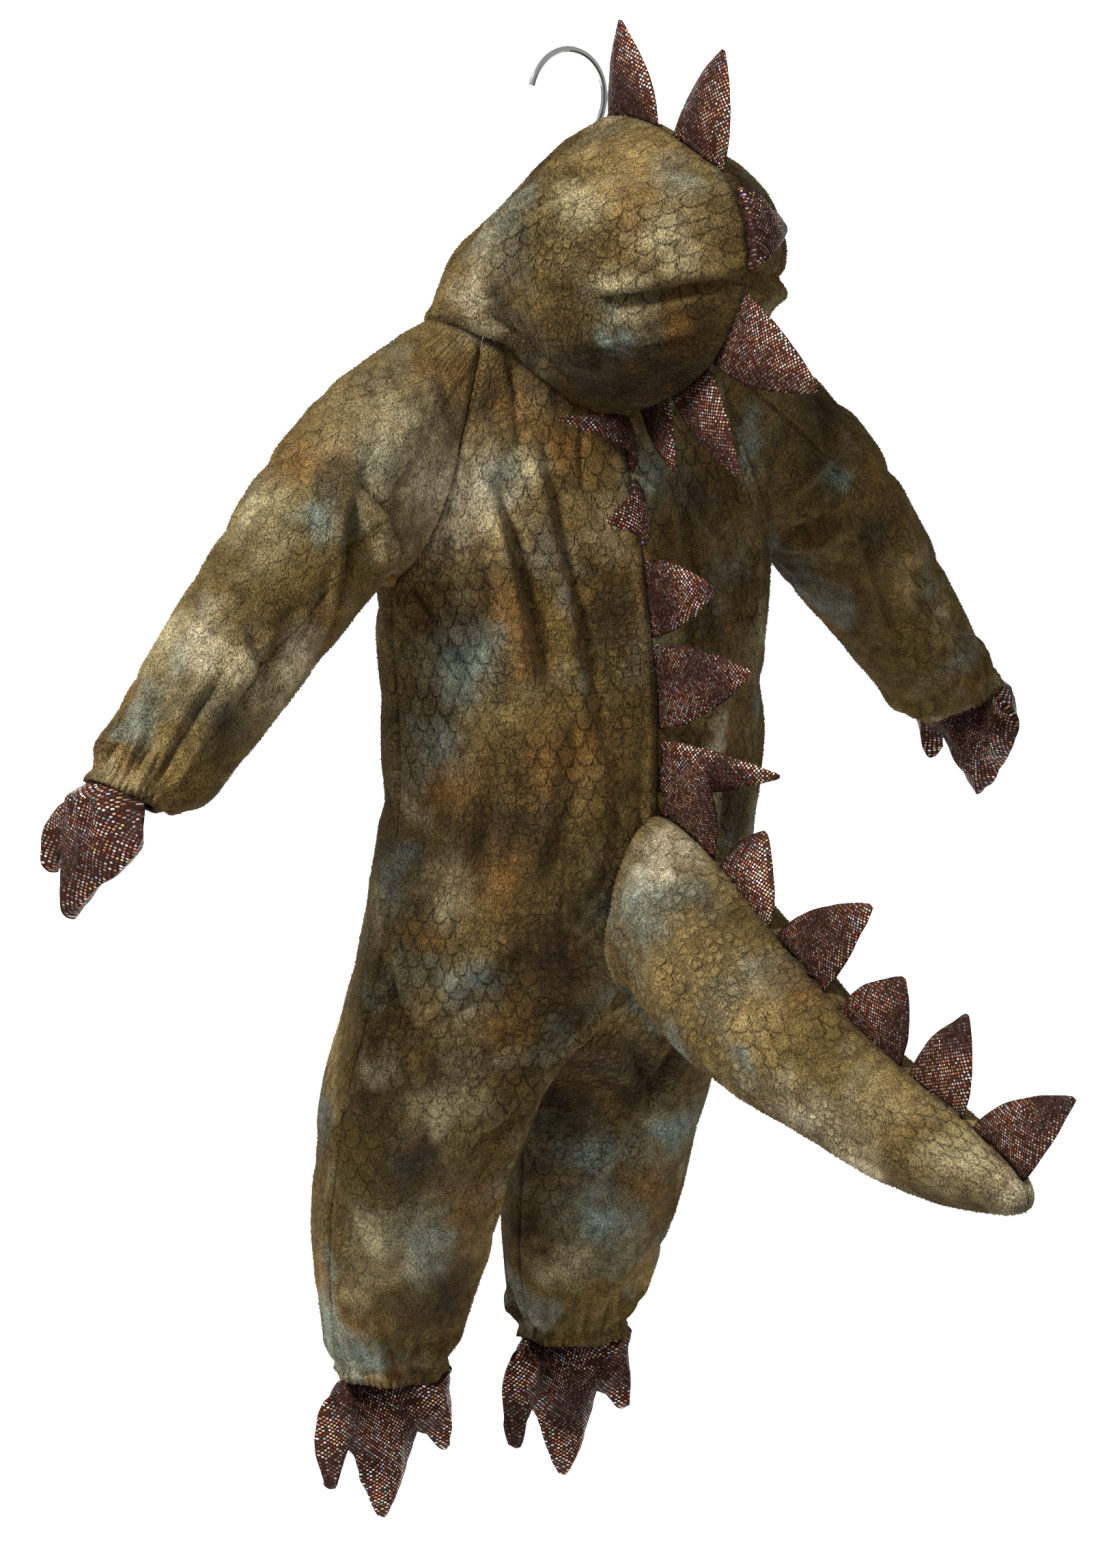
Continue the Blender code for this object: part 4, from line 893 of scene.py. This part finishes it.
def grow_pile(cloth, blades, seed, tree, finish):
    """The pile on a piece of cloth, as a mesh of its own."""
    group, density, length, number = tree
    piece = bpy.data.objects.new(cloth.name + "_pile", cloth.data.copy())
    bpy.context.scene.collection.objects.link(piece)
    area = sum(face.area for face in piece.data.polygons)
    grow = piece.modifiers.new("pile", "NODES")
    grow.node_group = group
    grow[density] = blades / area
    grow[length] = PILE_LENGTH
    grow[number] = seed
    baked(piece)
    piece.data.materials.clear()
    piece.data.materials.append(finish)
    return piece


def dress(piece, node, finish):
    """Finishes a piece: its finish, what it rides on, and the CAD node it replaces hidden."""
    if finish is not None:
        piece.data.materials.clear()
        piece.data.materials.append(finish)
    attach(piece, "root")
    if node:
        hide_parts(node)
    return piece


def make_cloth(tree, plush, pile, patches, hanger):
    borders = {}
    for seed, (node, (width, length, levels, blades)) in enumerate(PANELS.items(), start=1):
        work = merged(node)
        keep_outer_face(work)
        to_quads(work)
        keep_border(work)
        piece = subdivided(new_piece(node + "_cloth", work), levels)
        flat = read(piece.data)
        across, up = cut_places(node, flat)
        drape(piece.data, hanger)
        points = read(piece.data)
        store_cut(piece, across, up)
        store_dye_and_shade(piece, points, patches)
        fuzz = grow_pile(piece, blades, seed, tree, pile)
        borders[node] = border_points(piece.data)
        thickened(piece)
        dress(piece, node, plush)
        dress(fuzz, None, None)
    make_neck_binding(borders, plush, patches)


def binding_tree(finish):
    """Geometry Nodes: a round strip along a path of edges."""
    tree = bpy.data.node_groups.new("binding", "GeometryNodeTree")
    face = tree.interface
    face.new_socket("Path", in_out="INPUT", socket_type="NodeSocketGeometry")
    radius = face.new_socket("Strip radius", in_out="INPUT", socket_type="NodeSocketFloat")
    step = face.new_socket("Step", in_out="INPUT", socket_type="NodeSocketFloat")
    face.new_socket("Strip", in_out="OUTPUT", socket_type="NodeSocketGeometry")
    add = tree.nodes.new
    link = tree.links.new
    source = add("NodeGroupInput")
    result = add("NodeGroupOutput")
    path = add("GeometryNodeMeshToCurve")
    even = add("GeometryNodeResampleCurve")
    even.mode = "LENGTH"
    ring = add("GeometryNodeCurvePrimitiveCircle")
    ring.inputs["Resolution"].default_value = 10
    tube = add("GeometryNodeCurveToMesh")
    tube.inputs["Fill Caps"].default_value = True
    real = add("GeometryNodeRealizeInstances")
    finished = add("GeometryNodeSetMaterial")
    finished.inputs["Material"].default_value = finish
    link(source.outputs["Path"], path.inputs["Mesh"])
    link(path.outputs[0], even.inputs["Curve"])
    link(source.outputs["Step"], even.inputs["Length"])
    link(source.outputs["Strip radius"], ring.inputs["Radius"])
    link(even.outputs[0], tube.inputs["Curve"])
    link(ring.outputs[0], tube.inputs["Profile Curve"])
    link(tube.outputs[0], real.inputs[0])
    link(real.outputs[0], finished.inputs[0])
    link(finished.outputs[0], result.inputs[0])
    return tree, radius.identifier, step.identifier


def border_points(mesh):
    work = bmesh.new()
    work.from_mesh(mesh)
    spots = [v.co.copy() for v in work.verts if v.is_boundary]
    work.free()
    return spots


def make_neck_binding(borders, plush, patches):
    """The narrow ridge of the bound neck seam, where the hood's edge meets the panels below."""
    below = [spot for node, spots in borders.items() if not node.startswith("hood") for spot in spots]
    tree = KDTree(len(below))
    for index, spot in enumerate(below):
        tree.insert(spot, index)
    tree.balance()
    seam = [spot for node, spots in borders.items() if node.startswith("hood")
            for spot in spots if tree.find(spot)[2] < NECK_REACH]
    seam.sort(key=lambda spot: math.atan2(spot.x, spot.y))
    path = []
    for spot in seam:
        if not path or (spot - path[-1]).length > BINDING_SPOTS:
            path.append(spot)
    mesh = bpy.data.meshes.new("neck_binding")
    mesh.from_pydata(path, [(i, i + 1) for i in range(len(path) - 1)], [])
    binding = bpy.data.objects.new("neck_binding", mesh)
    bpy.context.scene.collection.objects.link(binding)
    group, radius, step = binding_tree(plush)
    round_off = binding.modifiers.new("binding", "NODES")
    round_off.node_group = group
    round_off[radius] = BINDING_RADIUS
    round_off[step] = BINDING_STEP
    baked(binding)
    binding.data.shade_smooth()
    points = read(binding.data)
    store_cut(binding, points[:, 0], points[:, 2])
    store_dye_and_shade(binding, points, patches)
    dress(binding, None, plush)


def make_tail(tree, plush, pile, patches, hanger):
    for seed, (node, blades) in enumerate(TAIL_HALVES.items(), start=21):
        work = merged(node)
        side = 1 if node.endswith("left") else -1
        flat_faces = [f for f in work.faces if all(abs(v.co.x) < TAIL_FLAT for v in f.verts)]
        bmesh.ops.delete(work, geom=flat_faces, context="FACES")
        to_quads(work)
        piece = subdivided(new_piece(node + "_skin", work), TAIL_LEVELS)
        flat = read(piece.data)
        flat[:, 0] = side * np.maximum(side * flat[:, 0], TAIL_GAP)
        write(piece.data, flat)
        across, up = cut_places(node, flat)
        drape(piece.data, hanger)
        points = read(piece.data)
        points[:, 0] = side * np.maximum(side * points[:, 0], TAIL_GAP)
        write(piece.data, points)
        store_cut(piece, across, up)
        store_dye_and_shade(piece, points, patches)
        fuzz = grow_pile(piece, blades, seed, tree, pile)
        dress(piece, node, plush)
        dress(fuzz, None, None)


def flat_places(points):
    """A flat piece's own plane: places across it, in metres."""
    middle = points.mean(axis=0)
    _, _, axes = np.linalg.svd(points - middle, full_matrices=False)
    return (points - middle) @ axes[0], (points - middle) @ axes[1]


def stuffed(node, levels, crease):
    work = merged(node)
    to_quads(work)
    sharp = work.edges.layers.float.new("crease_edge")
    for edge in work.edges:
        if len(edge.link_faces) == 2 and edge.calc_face_angle() > CREASED_ANGLE:
            edge[sharp] = crease
    return subdivided(new_piece(node + "_cover", work), levels)


def sink_base(piece, cloth):
    """Beds a spike's base into the seam it is sewn in."""
    points = read(piece.data)
    for index, spot in enumerate(points):
        near = cloth.find_nearest(spot)
        if near[3] < BASE_REACH:
            way = near[0] - Vector(spot)
            share = 1 - near[3] / BASE_REACH
            points[index] += np.array(way) * share - np.array(near[1]) * BASE_SINK * share
    write(piece.data, points)


def make_spikes(dotted):
    cloth = cad_tree(SEWN_TO)
    for number, node in enumerate(SPIKES):
        piece = stuffed(node, SPIKE_LEVELS, SPIKE_CREASE)
        sink_base(piece, cloth)
        points = read(piece.data)
        normals = read(piece.data, "normal")
        across, up = flat_places(points)
        push = 0.8 * MM * soft_noise(points, 18, number * 3.0) \
            + 0.25 * MM * soft_noise(points, 7, number * 5.0)
        write(piece.data, points + normals * push[:, None])
        store_cut(piece, across, up)
        dress(piece, node, dotted)


def make_claws(dotted):
    for number, (node, (top, side, down)) in enumerate(CLAWS.items()):
        piece = stuffed(node, CLAW_LEVELS, CLAW_CREASE)
        points = read(piece.data)
        normals = read(piece.data, "normal")
        across, up = flat_places(points)
        rel = points - mm(top)
        over = rel @ np.array(side, dtype=float)
        fall = np.clip(rel @ np.array(down, dtype=float), 0, 1)
        gather = np.cos(over / CLAW_PLEAT + 2.2 * np.sin(over / CLAW_WANDER + number))
        gather *= np.exp(-fall / CLAW_FALL)
        push = CLAW_GATHER * gather + 1.2 * MM * soft_noise(points, 17, number * 4.0 + 1) \
            + 0.6 * MM * soft_noise(points, 7, number * 6.0 + 2)
        push *= np.clip(fall / CLAW_TOP, 0.2, 1)
        write(piece.data, points + normals * push[:, None])
        store_cut(piece, across, up)
        dress(piece, node, dotted)


def make_hanger():
    chrome = plain_material("polished_wire", (0.92, 0.92, 0.93), 0.18, 1.0, 60)
    black = plain_material("moulded_bar", (0.025, 0.025, 0.027), 0.45, 0.0, 400)
    for node, finish in (("hanger_hook", chrome), ("hanger_bar", black)):
        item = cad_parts[node]
        item.data.materials.clear()
        item.data.materials.append(finish)


def make_stage():
    """A pale floor, a lit backdrop and soft studio lights."""
    paper = Shader("white_paper")
    paper.main.inputs["Base Color"].default_value = (0.92, 0.92, 0.92, 1)
    paper.main.inputs["Roughness"].default_value = 0.9
    glow = Shader("lit_paper")
    glow.main.inputs["Base Color"].default_value = (0.92, 0.92, 0.92, 1)
    glow.main.inputs["Emission Color"].default_value = (1, 1, 1, 1)
    glow.main.inputs["Emission Strength"].default_value = 0.9
    bpy.ops.mesh.primitive_plane_add(size=200, location=(0, 0, FLOOR_Z))
    floor = bpy.context.object
    floor.name = "floor"
    floor.data.materials.append(paper.material)
    behind = Vector((-math.sin(CAMERA_TURN), math.cos(CAMERA_TURN), 0)) * BACKDROP_AWAY
    bpy.ops.mesh.primitive_plane_add(size=BACKDROP_SIZE, location=(behind.x, behind.y, FLOOR_Z + 1.2),
                                     rotation=(math.radians(90), 0, CAMERA_TURN))
    backdrop = bpy.context.object
    backdrop.name = "backdrop"
    backdrop.data.materials.append(glow.material)
    world = bpy.data.worlds.new("studio")
    world.use_nodes = True
    world.node_tree.nodes["Background"].inputs["Color"].default_value = (1.0, 1.0, 1.0, 1)
    world.node_tree.nodes["Background"].inputs["Strength"].default_value = WORLD_LIGHT
    bpy.context.scene.world = world
    lights = (
        # name, place, aim, size, power
        ("key", (2.70, 0.25, 2.10), (0.0, 0.0, -0.35), 0.7, 200),
        ("fill", (-0.60, 2.70, 0.60), (0.0, 0.0, -0.45), 1.6, 12),
        ("front", (-1.00, -2.40, 1.20), (0.0, 0.0, -0.40), 1.6, 24),
    )
    for name, place, aim, size, power in lights:
        data = bpy.data.lights.new(name, "AREA")
        data.shape = "DISK"
        data.size = size
        data.energy = power
        lamp = bpy.data.objects.new(name, data)
        lamp.location = place
        lamp.rotation_euler = (Vector(aim) - Vector(place)).to_track_quat("-Z", "Y").to_euler()
        bpy.context.scene.collection.objects.link(lamp)
    bpy.context.scene.view_settings.view_transform = "Standard"


def main():
    make_camera()
    plush = plush_material("plush_cloth", False)
    pile = plush_material("plush_pile", True)
    dotted = foil_dot_material("dotted_knit")
    tree = pile_tree(pile)
    patches = patch_places()
    hanger = cad_tree(["hanger_bar", "hanger_hook"])
    make_cloth(tree, plush, pile, patches, hanger)
    make_tail(tree, plush, pile, patches, hanger)
    make_spikes(dotted)
    make_claws(dotted)
    make_hanger()
    make_stage()


main()
